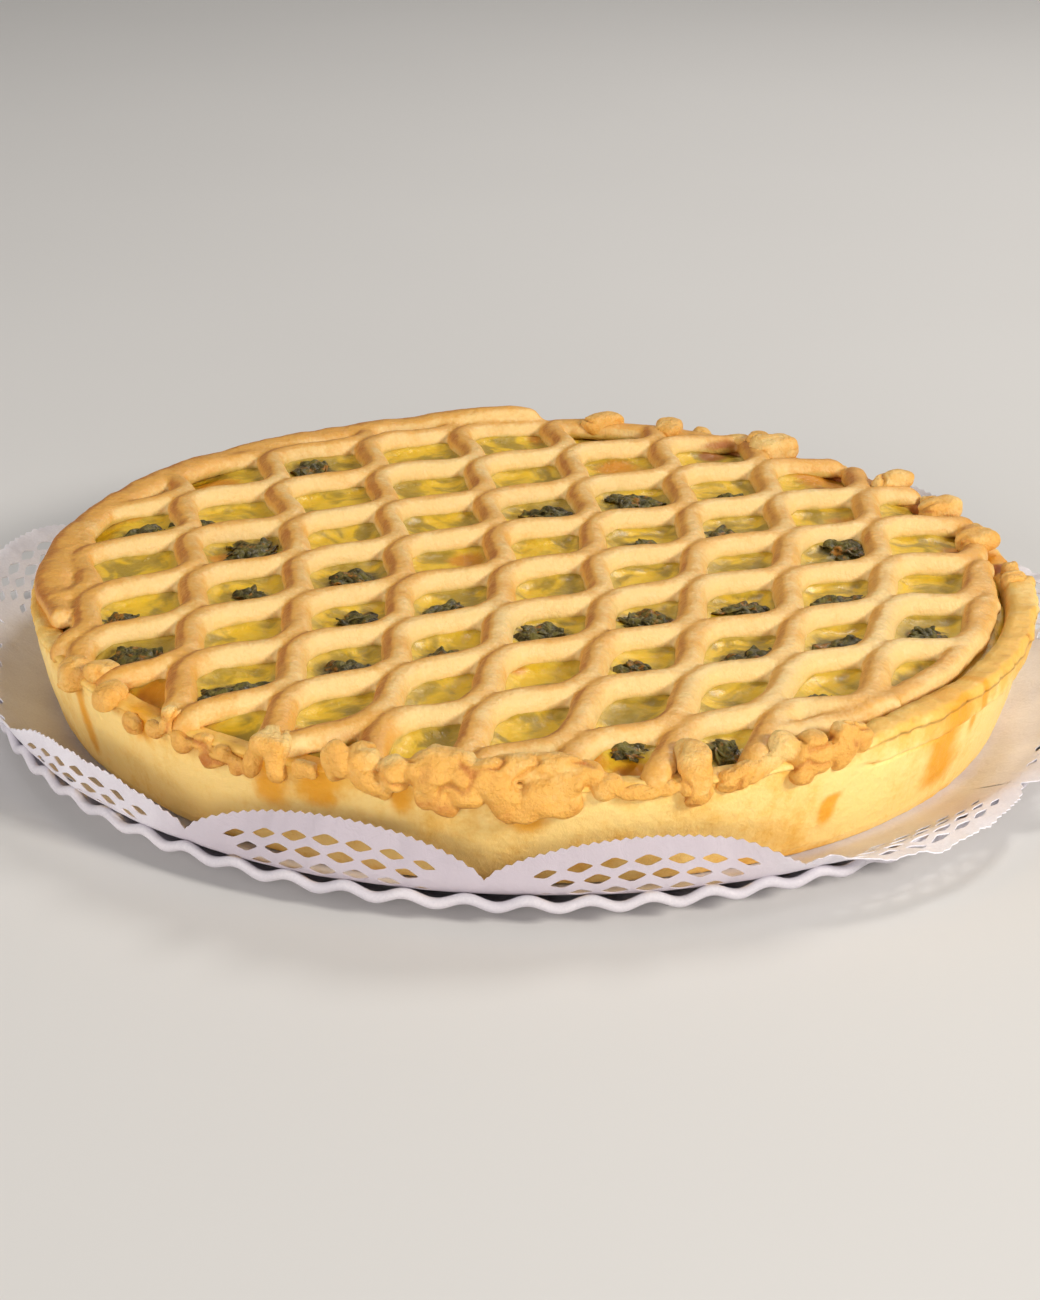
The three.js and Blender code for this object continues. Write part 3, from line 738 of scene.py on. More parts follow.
@dataclass
class PaperPlate:
    """The white paper plate: a flat middle, a fluted rim and a rolled edge."""

    flat_radius: float = 130.0
    radius: float = 147.2
    rise: float = 6.0
    rise_power: float = 1.5
    thickness: float = 0.9
    bead: float = 1.35
    flutes: int = 64
    flute_depth: float = 0.95
    flute_onset: float = 1.4
    steps: int = 768
    finish: PaperFinish = PaperFinish(
        "plate_board", (0.65, 0.61, 0.645), (0.53, 0.50, 0.55), fibre_mm=0.04, glow=0.05,
    )

    def rim_share(self, radius: np.ndarray | float) -> np.ndarray | float:
        """How far out on the rim a radius lies: 0 at the flat middle, 1 at the edge."""
        return np.clip((radius - self.flat_radius) / (self.radius - self.flat_radius), 0, 1)

    def height(self, radius: np.ndarray | float) -> np.ndarray | float:
        """Height of the plate's face over its flat middle, before the flutes."""
        return self.rise * self.rim_share(radius) ** self.rise_power

    def lean(self, radius: np.ndarray) -> np.ndarray:
        """Slope of the plate's face, in radians."""
        power = self.rise_power
        climb = self.rise * power * self.rim_share(radius) ** (power - 1)
        return np.arctan(climb / (self.radius - self.flat_radius))

    def profile(self) -> list[tuple[float, float]]:
        """The section from the axis under the plate, round the rolled edge and back."""
        radii = [0, 40, 90, 120, *np.linspace(126, self.radius - 1, 18)]
        under = [(float(r), float(self.height(r))) for r in radii]
        centre = float(self.height(self.radius)) + 0.5 * self.thickness
        turns = np.radians(np.linspace(-130, 140, 12))
        edge = [
            (self.radius + self.bead * math.cos(turn), centre + self.bead * math.sin(turn))
            for turn in turns
        ]
        over = [(radius, height + self.thickness) for radius, height in reversed(under)]
        return [*under, *edge, *over]

    def build(self) -> bpy.types.Object:
        """Makes the plate.

        Returns:
            The finished piece.
        """
        plate = Bench.spun("plate_fluted", self.profile(), self.steps)
        points = Bench.points(plate)
        radius = radius_of(points)
        angle = np.arctan2(points[:, 1], points[:, 0])
        depth = self.flute_depth * np.minimum(1, self.rim_share(radius) * self.flute_onset)
        grain = Grain(5)
        uneven = 1 + 0.25 * grain.at(points, 24.0)
        points[:, 2] += depth * uneven * np.cos(self.flutes * angle)
        points[:, 2] += 0.35 * self.rim_share(radius) * grain.at(points, 60.0)
        Bench.reshape(plate, points)
        Bench.soften(plate)
        settle(plate, self.finish.material(), "plate")
        return plate


@dataclass(frozen=True)
class Lobe:
    """One lobe of the doily: its slope in degrees past the fold, its share of the full
    length, the height of its pleats in millimetres, and how much its upright part is darkened:
    painted shade, partly a greasy look of the paper."""

    slope: float
    reach: float
    crumple: float = 0.35
    shade_and_grease: float = 0.0


@dataclass
class LaceDoily:
    """The lace paper doily: a disc under the pie and twelve lobes pierced with diamonds."""

    plate: PaperPlate
    inner_radius: float = 126.0
    fold_radius: float = 148.5
    notch_reach: float = 2.5
    tip_reach: float = 19.5
    fullness: float = 0.6
    thickness: float = 0.32
    lift: float = 1.55
    rim_lift: float = 1.15
    fold_span: tuple[float, float] = (-2.5, 3.5)
    fall_steps: int = 40
    first_notch: float = -124.0
    blend: float = 0.25
    width: float = 78.0
    depth: float = 42.0
    columns: int = 120
    rows: int = 26
    scallops: int = 30
    scallop: float = 0.32
    scallop_from: float = 0.93
    pitch: float = 8.2
    punches: int = 4
    narrowing: float = 0.25
    hole: tuple[float, float] = (6.9, 3.25)
    lace_rows: tuple[tuple[float, float], ...] = (
        (6.4, 29.0), (10.4, 27.0), (14.4, 25.0), (18.4, 20.0),
    )
    punch: tuple[tuple[float, float], ...] = (
        (0.5, 0.0), (0.42, 0.14), (0.08, 0.46), (-0.08, 0.46), (-0.42, 0.14),
        (-0.5, 0.0), (-0.42, -0.14), (-0.08, -0.46), (0.08, -0.46), (0.42, -0.14),
    )
    # The fourth number darkens the upright lobes: painted shade, partly greasy paper.
    lobes: tuple[Lobe, ...] = (
        Lobe(112, 0.68, 0.2, 0.9), Lobe(110, 0.6, 0.2, 0.8), Lobe(8, 0.45, 0.9),
        Lobe(12, 0.8, 1.1), Lobe(16, 1.0, 1.0), Lobe(44, 1.0), Lobe(42, 1.0), Lobe(34, 1.0),
        Lobe(28, 1.0), Lobe(30, 1.0), Lobe(26, 1.0), Lobe(84, 0.54, 0.35, 0.5),
    )
    finish: PaperFinish = PaperFinish("doily_paper", fibre_mm=0.06, crease_mm=0.2, glow=0.2)

    def blank(self) -> bpy.types.Object:
        """One flat lobe with its holes cut.

        Returns:
            A thin slab, `width` by `depth` millimetres, without side and inner walls.
        """
        bpy.ops.object.select_all(action="DESELECT")
        bpy.ops.mesh.primitive_grid_add(x_subdivisions=self.columns, y_subdivisions=self.rows)
        slab = Bench.named(bpy.context.object, "lobe_blank")
        points = Bench.points(slab)
        flat = (points / np.abs(points).max() + [1, 1, 0]) / 2
        Bench.reshape(slab, flat * [self.width, self.depth, 0])
        Bench.edit(slab)
        bpy.ops.mesh.extrude_region_move(TRANSFORM_OT_translate={"value": (0, 0, MM)})
        bpy.ops.mesh.select_all(action="SELECT")
        bpy.ops.mesh.normals_make_consistent(inside=False)
        Bench.done()
        cutter = self.cutter()
        Bench.modify(slab, "BOOLEAN", operation="DIFFERENCE", object=cutter, solver="MANIFOLD")
        Bench.discard(cutter)
        self.open_sides(slab)
        return slab

    def cutter(self) -> bpy.types.Object:
        """The diamond punches of one lobe, as one object."""
        pile = Pile()
        length, breadth = self.hole
        for row, (inset, half_span) in enumerate(self.lace_rows):
            shift = 0.5 * self.pitch * (row % 2)
            for column in range(-self.punches, self.punches + 1):
                across = column * self.pitch + shift
                if abs(across) > half_span:
                    continue
                scale = 1 - self.narrowing * (abs(across) / half_span) ** 2
                centre = (0.5 * self.width + across, self.depth - inset)
                ring = np.array([
                    (centre[0] + length * scale * x, centre[1] + breadth * scale * y)
                    for x, y in self.punch
                ])
                count = len(ring)
                low = np.column_stack([ring, np.full(count, -1.0)])
                high = np.column_stack([ring, np.full(count, 2.0)])
                faces = [tuple(reversed(range(count))), tuple(range(count, 2 * count))]
                faces += [
                    (k, (k + 1) % count, count + (k + 1) % count, count + k)
                    for k in range(count)
                ]
                pile.add(np.concatenate([low, high]), faces)
        return pile.piece("lace_punches")

    def open_sides(self, slab: bpy.types.Object) -> None:
        """Deletes the walls where one lobe joins the next and the disc."""
        close, square = 0.01, 0.9

        def joins(face: bpy.types.MeshPolygon) -> bool:
            """Whether a face is such a wall."""
            centre = face.center / MM
            at_side = min(centre.x, self.width - centre.x) < close
            side = at_side and abs(face.normal.x) > square
            return side or (centre.y < close and face.normal.y < -square)

        Bench.choose(slab, "FACE", joins)
        bpy.ops.mesh.delete(type="FACE")
        Bench.done()

    def lobe_value(self, degrees: np.ndarray, read: Callable[[Lobe], float]) -> np.ndarray:
        """A value of the lobes, blended across the notches.

        Args:
            degrees: Angle of each point, from the first notch.
            read: Which value.

        Returns:
            One number a point.
        """
        values = np.array([read(lobe) for lobe in self.lobes])
        span = 360 / len(self.lobes)
        lobe = np.floor(degrees / span).astype(int) % len(self.lobes)
        inside = (degrees / span) % 1
        before = 0.5 * (1 - smooth(0, self.blend, inside))
        after = 0.5 * smooth(1 - self.blend, 1, inside)
        return (values[lobe] * (1 - before - after) + values[lobe - 1] * before
                + values[(lobe + 1) % len(self.lobes)] * after)

    def drape(self, points: np.ndarray, lobe: int) -> np.ndarray:
        """Lays the flat lobe on the plate and lifts it past the fold.

        Args:
            points: Flat places of the blank, with the face in z from 0 to 1.
            lobe: Number of the lobe.

        Returns:
            The same points on the pie.
        """
        span = 360 / len(self.lobes)
        across = np.clip(points[:, 0] / self.width, 0, 1)
        along = points[:, 1] / self.depth
        turned = (lobe + across) * span
        near = np.clip(across, 1e-4, 1 - 1e-4)
        bow = np.sin(np.pi * near) ** self.fullness * self.lobes[lobe].reach
        reach = self.notch_reach + (self.tip_reach - self.notch_reach) * bow
        sheet = self.fold_radius - self.inner_radius
        edge = smooth(self.scallop_from, 1.0, along) * self.scallop
        distance = along * (sheet + reach)
        distance += edge * np.cos(2 * np.pi * self.scallops * across)
        slope = np.radians(self.lobe_value(turned, lambda one: one.slope))
        radius = np.full(len(points), self.inner_radius)
        height = np.zeros(len(points))
        lean = np.zeros(len(points))
        for k in range(self.fall_steps):
            at = distance * (k + 0.5) / self.fall_steps
            local = self.inner_radius + at
            flat = self.plate.lean(local)
            share = smooth(sheet + self.fold_span[0], sheet + self.fold_span[1], at)
            lean = flat * (1 - share) + slope * share
            radius = radius + np.cos(lean) * distance / self.fall_steps
            height = height + np.sin(lean) * distance / self.fall_steps
        angle = np.radians(self.first_notch + turned)
        base = self.lift + self.rim_lift * smooth(128, 140, radius)
        face = (points[:, 2] - 0.5) * self.thickness
        radius = radius - np.sin(lean) * face
        height = base + height + np.cos(lean) * face
        place = np.column_stack([radius * np.cos(angle), radius * np.sin(angle), height])
        out = smooth(sheet - 6, sheet + 12, distance)
        normal = np.column_stack([
            -np.sin(lean) * np.cos(angle), -np.sin(lean) * np.sin(angle), np.cos(lean),
        ])
        wave = Grain(17).at(place, 26.0) * 1.7 + Grain(18).at(place, 9.0) * 0.45
        spread = np.column_stack([np.radians(turned) * self.fold_radius, distance, 0 * distance])
        pleats = 1 - np.abs(Grain(19).at(spread, (7.0, 55.0, 1.0))) * 2
        wave += self.lobes[lobe].crumple * pleats
        pinch = 0.5 * bell(np.minimum(across, 1 - across), 0.05)
        return place + normal * (wave * out + pinch * out)[:, None]

    def build(self) -> bpy.types.Object:
        """Makes the doily.

        Returns:
            The finished piece.
        """
        flat, faces = Bench.template(self.blank())
        pile = Pile()
        for lobe in range(len(self.lobes)):
            pile.add(self.drape(flat, lobe), faces)
        doily = pile.piece("doily_lace")
        Bench.edit(doily)
        bpy.ops.mesh.remove_doubles(threshold=0.02 * MM)
        bpy.ops.mesh.select_all(action="DESELECT")
        bpy.ops.mesh.select_non_manifold()
        bpy.ops.mesh.fill_holes(sides=0)
        Bench.done()
        Bench.soften(doily, 35)
        points = Bench.points(doily)
        turned = (degrees_of(points) - self.first_notch) % 360
        # The upright lobes are darkened above 4 mm: painted shade, partly greasy paper.
        shade_and_grease = self.lobe_value(turned, lambda one: one.shade_and_grease)
        Bench.tag(doily, "shade_and_grease", shade_and_grease * smooth(4.0, 8.0, points[:, 2]))
        settle(doily, self.finish.material(), "doily")
        return doily


@dataclass
class CrustShell:
    """The baked pastry case: a leaning wall, a rounded foot and a ragged lip."""

    base: float = 2.1
    base_radius: float = 130.0
    rim_radius: float = 137.0
    height: float = 29.6
    bulge: float = 0.9
    foot_rounding: float = 2.2
    lip_width: float = 6.5
    lip_rounding: float = 1.6
    wall: float = 5.5
    floor: float = 3.5
    steps: int = 720
    wall_rows: int = 44
    bare_lip: tuple[float, float, float] = (-50.0, -2.0, 5.0)
    bare_rise: float = 3.4
    overhang: float = 1.9
    ledge_share: float = 0.80
    ledge_step: float = 0.035
    # Depth and width of the groove under the lip, which is also darkened as a painted shadow line.
    shadow_groove_depth: float = 0.9
    shadow_groove_width: float = 0.02
    nick_depth: float = 1.1
    foot_span: tuple[float, float] = (0.02, 0.10)
    ragged_span: tuple[float, float] = (0.80, 0.95)
    shaded: tuple[float, float] = (215, 50)
    scorched: tuple[tuple[float, float], ...] = ((43, 6), (63, 5), (28, 2.5), (76, 2), (5, 2))
    drips: tuple[tuple[float, float, float, float], ...] = (
        (-40.1, 3.0, 0.95, 0.22), (-34.8, 0.9, 0.98, 0.6), (-147.3, 1.3, 0.95, 0.2),
        (-134.0, 2.2, 1.0, 0.72), (-117.0, 2.2, 0.9, 0.5), (-111.5, 2.6, 1.0, 0.6),
        (-57.2, 1.2, 0.55, 0.25), (-90.4, 2.4, 0.8, 0.55), (-103.0, 1.2, 0.9, 0.65),
        (8.0, 1.6, 1.0, 0.5), (150.0, 2.0, 1.0, 0.5), (96.0, 2.2, 1.0, 0.6), (52.0, 2.5, 1.0, 0.4),
    )
    finish: DoughFinish = DoughFinish(
        "crust_dough", (0.97, 0.69, 0.25), (0.85, 0.48, 0.085), (0.55, 0.21, 0.022),
        scorched=(0.36, 0.10, 0.008), soaked=(0.80, 0.34, 0.005), streak=0.6, mottle=1.1,
        flake_mm=0.22, relief_mm=0.45,
    )

    def profile(self) -> list[tuple[float, float]]:
        """The section from the axis under the case, up the wall and back over the floor."""
        top = self.base + self.height
        rounding = self.foot_rounding
        points = [(0, self.base), (60, self.base), (110, self.base), (124, self.base)]
        for turn in np.radians(np.linspace(-90, 0, 6)):
            points.append((
                self.base_radius - rounding + rounding * math.cos(turn),
                self.base + rounding + rounding * math.sin(turn),
            ))
        for share in np.linspace(0.11, 0.95, self.wall_rows):
            radius = self.base_radius + (self.rim_radius - self.base_radius) * share
            points.append((radius, self.base + share * self.height))
        rounding = self.lip_rounding
        crest = self.rim_radius - rounding
        for turn in np.radians(np.linspace(0, 90, 6)):
            points.append((
                crest + rounding * math.cos(turn), top - rounding + rounding * math.sin(turn),
            ))
        inner = self.rim_radius - self.lip_width
        points += [(crest - 1.7, top - 0.1), (inner + 1.2, top - 0.3), (inner, top - 1.2)]
        floor = self.base + self.floor
        points += [(inner - 0.5, top - 5), (self.base_radius - self.wall, floor + 3)]
        points += [(self.base_radius - self.wall - 2, floor), (60, floor), (0, floor)]
        return [(float(radius), float(height)) for radius, height in points]

    def bare(self, degrees: np.ndarray) -> np.ndarray:
        """How far the bare stretch of lip is raised, from 0 to 1."""
        turned = np.where(degrees > 180, degrees - 360, degrees)
        low, high, soft = self.bare_lip
        return smooth(low - soft, low, turned) * (1 - smooth(high, high + soft, turned))

    def drip_at(self, degrees: np.ndarray, share: np.ndarray, points: np.ndarray) -> np.ndarray:
        """How brown the drips make the wall.

        Args:
            degrees: Angle of each point.
            share: Its share of the wall's height.
            points: Its place.

        Returns:
            0 where there is no drip, up to 1.
        """
        total = np.zeros(len(degrees))
        sway = 0.8 * Grain(61).at(points, (30.0, 30.0, 12.0))
        for angle, width, high, low in self.drips:
            across = bell(off(degrees + sway, angle), width)
            along = smooth(low - 0.1, low + 0.15, share) * (1 - smooth(high, high + 0.1, share))
            total = np.maximum(total, across * along)
        return total

    def build(self) -> bpy.types.Object:
        """Makes the case.

        Returns:
            The finished piece.
        """
        crust = Bench.spun("crust_case", self.profile(), self.steps)
        points = Bench.points(crust)
        radius = radius_of(points)
        degrees = degrees_of(points)
        share = (points[:, 2] - self.base) / self.height
        bare = self.bare(degrees)
        foot = 1 - smooth(*self.foot_span, share)
        ragged = smooth(*self.ragged_span, share)
        nick = Grain(38).at(points, (2.6, 2.6, 4.0))
        edge = self.ledge_share + Bumps(35, 16.0, 3, 0.05).at(points)
        # A groove under the lip of the bare stretch, also darkened below as a painted shadow line.
        shadow_groove = bare * bell(share - edge, self.shadow_groove_width)
        push = self.bulge * np.sin(np.pi * np.clip(share, 0, 1))
        push = push + Bumps(31, 34.0, 2, 0.55).at(points)
        push += Bumps(32, 7.0, 3, 0.16).at(points)
        push += 0.12 * Grain(33).at(points, (2.4, 2.4, 45.0)) * smooth(0.05, 0.3, share)
        push += foot * Bumps(34, 4.0, 2, 0.35).at(points)
        ledge = smooth(edge, edge + self.ledge_step, share)
        push += self.overhang * bare * ledge - self.shadow_groove_depth * shadow_groove
        push += (0.35 + 0.85 * bare) * ragged * Bumps(36, 5.0, 3).at(points)
        push += (0.1 + 0.35 * bare) * ragged * Bumps(40, 2.8, 2).at(points)
        push -= self.nick_depth * ragged * smooth(0.35, 0.75, nick)
        flare = (self.rim_radius - self.base_radius) * share
        outer = smooth(-3.0, -0.5, radius - (self.base_radius + flare - 0.5))
        direction = points[:, :2] / np.maximum(radius, 1e-6)[:, None]
        points[:, :2] += direction * (push * outer)[:, None]
        top = smooth(0.86, 1.0, share) * smooth(-9.0, -5.0, radius - self.rim_radius)
        rise = self.bare_rise * bare + (0.5 + 0.7 * bare) * Bumps(37, 7.0, 3).at(points)
        points[:, 2] += top * rise
        Bench.reshape(crust, points)
        Bench.soften(crust)
        drip = self.drip_at(degrees, share, points)
        Bench.tag(crust, "moist", drip)
        toast_and_shading = 0.10 + 0.30 * smooth(0.72, 1.0, share) + 0.24 * foot + 0.25 * drip
        # The groove under the lip is darkened: a painted shadow line below the overhang.
        toast_and_shading += 0.08 * bare * smooth(0.84, 0.9, share) + 0.5 * shadow_groove
        toast_and_shading += 0.35 * ragged * smooth(0.25, 0.7, nick)
        shaded_angle, shaded_width = self.shaded
        toast_and_shading += 0.05 * bell(off(degrees, shaded_angle), shaded_width)
        toast_and_shading += Bumps(39, 26.0, 2, 0.16).at(points)
        Bench.tag(crust, "toast_and_shading", toast_and_shading)
        scorch = np.zeros(len(points))
        for angle, width in self.scorched:
            scorch = np.maximum(scorch, bell(off(degrees, angle), width))
        Bench.tag(crust, "scorch", scorch * smooth(0.72, 0.98, share))
        settle(crust, self.finish.material(), "crust")
        return crust


@dataclass
class StrandNet:
    """Where the strands of the lattice run: slanted windows that bend across the pie."""

    start: tuple[float, float] = (-8.3, -4.9)
    step_right: tuple[float, float] = (27.0, 11.3)
    step_back: tuple[float, float] = (-1.0, 30.9)
    bend_right: tuple[float, float] = (0.0, -0.37)
    bend_both: tuple[float, float] = (0.54, 0.08)
    bend_back: tuple[float, float] = (-0.66, 0.03)
    wander: float = 1.1
    junction_half: float = 1.6
    pull: float = 0.30
    aside: float = 2.8
    reach: int = 8
    edge_radius: float = 136.6
    roll_stops: tuple[tuple[float, float, float], ...] = (
        (89.0, 200.0, 131.5), (296.0, 369.0, 125.5), (62.0, 88.0, 130.5),
    )

    def junction(self, i: int, j: int) -> np.ndarray:
        """The middle of junction number (i, j)."""
        draw = seeded(4001 + 97 * (i + 20) + 13 * (j + 20))
        terms = (
            (self.step_right, i), (self.step_back, j), (self.bend_right, i * i),
            (self.bend_both, i * j), (self.bend_back, j * j),
        )
        place = np.array(self.start)
        for step, times in terms:
            place = place + np.array(step) * times
        return place + self.wander * np.array([2 * draw() - 1, 2 * draw() - 1])

    def along(self) -> np.ndarray:
        """The direction that the junctions point in."""
        direction = np.array(self.step_right) + np.array(self.step_back)
        return direction / np.linalg.norm(direction)

    def path(self, start: np.ndarray, end: np.ndarray, side: float) -> np.ndarray:
        """The middle line of one strand, from half a junction to half the next.

        Args:
            start: The junction that it leaves.
            end: The junction that it reaches.
            side: 1 if it leaves on the right of the junction, and -1 on the left.

        Returns:
            Rows of x and y.
        """
        along = self.along()
        right = np.array([along[1], -along[0]]) * self.aside * side
        leave = start + along * self.junction_half + right
        arrive = end - along * self.junction_half - right
        pull = self.pull * np.linalg.norm(arrive - leave) * along
        share = np.linspace(0, 1, 25)[:, None]
        rest = 1 - share
        curve = (rest**3 * leave + 3 * rest**2 * share * (leave + pull)
                 + 3 * rest * share**2 * (arrive - pull) + share**3 * arrive)
        first = start + right - 0.6 * along
        last = end - right + 0.6 * along
        return np.concatenate([[first], curve, [last]])

    def paths(self) -> list[np.ndarray]:
        """The middle lines of all strands that touch the pie."""
        found = []
        span = range(-self.reach, self.reach + 1)
        for i, j in product(span, span):
            here = self.junction(i, j)
            for other, side in ((self.junction(i + 1, j), 1.0), (self.junction(i, j + 1), -1.0)):
                path = self.path(here, other, side)
                if radius_of(path).min() < self.edge_radius:
                    found.append(path)
        return found

    def stop_at(self, degrees: np.ndarray) -> np.ndarray:
        """The radius where strands end at each angle."""
        stop = np.full(len(degrees), self.edge_radius)
        for low, high, radius in self.roll_stops:
            inside = (degrees - low) % 360 <= high - low
            stop = np.where(inside, radius, stop)
        return stop

    def trimmed(self, path: np.ndarray, extra: float) -> np.ndarray | None:
        """Cuts a middle line where it leaves the lattice.

        Args:
            path: The line.
            extra: Length that this strand has over the others.

        Returns:
            The part inside, or nothing where too little is left.
        """
        step = np.linalg.norm(np.diff(path, axis=0), axis=1)
        length = np.concatenate([[0], np.cumsum(step)])
        fine = np.linspace(0, length[-1], 120)
        dense = np.column_stack([np.interp(fine, length, path[:, axis]) for axis in range(2)])
        radius = radius_of(dense)
        inside = radius < self.stop_at(degrees_of(dense)) + extra
        if not inside.any():
            return None
        numbers = np.flatnonzero(inside)
        kept = dense[numbers[0]:numbers[-1] + 1]
        return kept if len(kept) > 14 else None


class Blank:
    """A straight strand of dough that is bent along any line."""

    SQUARENESS = 0.78

    def __init__(self, sides: int = 16, stations: int = 22, flare: float = 0.5) -> None:
        """Models the straight strand: a rod, cut across, with a wider foot.

        Args:
            sides: Faces round it.
            stations: Cuts along it.
            flare: Share by which the foot is wider.
        """
        bpy.ops.object.select_all(action="DESELECT")
        bpy.ops.mesh.primitive_cylinder_add(
            vertices=sides, radius=0.5, depth=1.0, rotation=(0, math.pi / 2, 0)
        )
        rod = bpy.context.object
        bpy.ops.object.transform_apply(location=False, rotation=True, scale=False)

        def runs_along(edge: bpy.types.MeshEdge) -> bool:
            """Whether an edge runs from end to end."""
            first, second = (rod.data.vertices[index].co for index in edge.vertices)
            return abs(first.x - second.x) > 0.5

        Bench.choose(rod, "EDGE", runs_along)
        bpy.ops.mesh.subdivide(number_cuts=stations)
        Bench.done()
        raw, self.faces = Bench.template(rod)
        raw = raw * MM
        turn = np.arctan2(raw[:, 2], raw[:, 1])
        cos, sin = np.cos(turn), np.sin(turn)
        across = 0.5 * np.sign(cos) * np.abs(cos) ** self.SQUARENESS
        upward = 0.5 + 0.5 * np.sign(sin) * np.abs(sin) ** self.SQUARENESS
        self.along = raw[:, 0] + 0.5
        self.across = across * (1 + flare * (1 - upward))
        self.upward = upward

    def bent(self, path: np.ndarray, width: np.ndarray, low: np.ndarray, high: np.ndarray,
             round_ends: tuple[float, float] = (0.0, 0.0)) -> np.ndarray:
        """Bends the strand.

        Args:
            path: Its middle line, rows of x and y.
            width: Its width along the line.
            low: Height of its underside along the line.
            high: Height of its top along the line.
            round_ends: Length over which each end is rounded off.

        Returns:
            Its vertices in millimetres.
        """
        step = np.linalg.norm(np.diff(path, axis=0), axis=1)
        length = np.concatenate([[0], np.cumsum(step)])
        share = length / length[-1]
        place = np.column_stack([np.interp(self.along, share, path[:, axis]) for axis in (0, 1)])
        slope = np.gradient(path, axis=0)
        slope /= np.linalg.norm(slope, axis=1)[:, None]
        ahead = np.column_stack([np.interp(self.along, share, slope[:, axis]) for axis in (0, 1)])
        ahead /= np.linalg.norm(ahead, axis=1)[:, None]
        side = np.column_stack([-ahead[:, 1], ahead[:, 0]])
        taper = np.ones(len(self.along))
        for reach, away in zip(round_ends, (self.along, 1 - self.along)):
            if reach > 0:
                inward = np.clip(away * length[-1] / reach, 0, 1)
                taper = taper * np.sqrt(1 - (1 - inward) ** 2 * 0.9)
        wide = np.interp(self.along, share, width) * taper
        bottom = np.interp(self.along, share, low)
        top = np.interp(self.along, share, high)
        middle = 0.5 * (bottom + top)
        z = middle + (self.upward - 0.5) * (top - bottom) * (0.4 + 0.6 * taper)
        return np.column_stack([place + side * (self.across * wide)[:, None], z])


@dataclass(frozen=True)
class Roll:
    """A roll of dough along the edge."""

    start: float
    end: float
    radius: float
    width: float
    height: float
    lift: float = 0.0


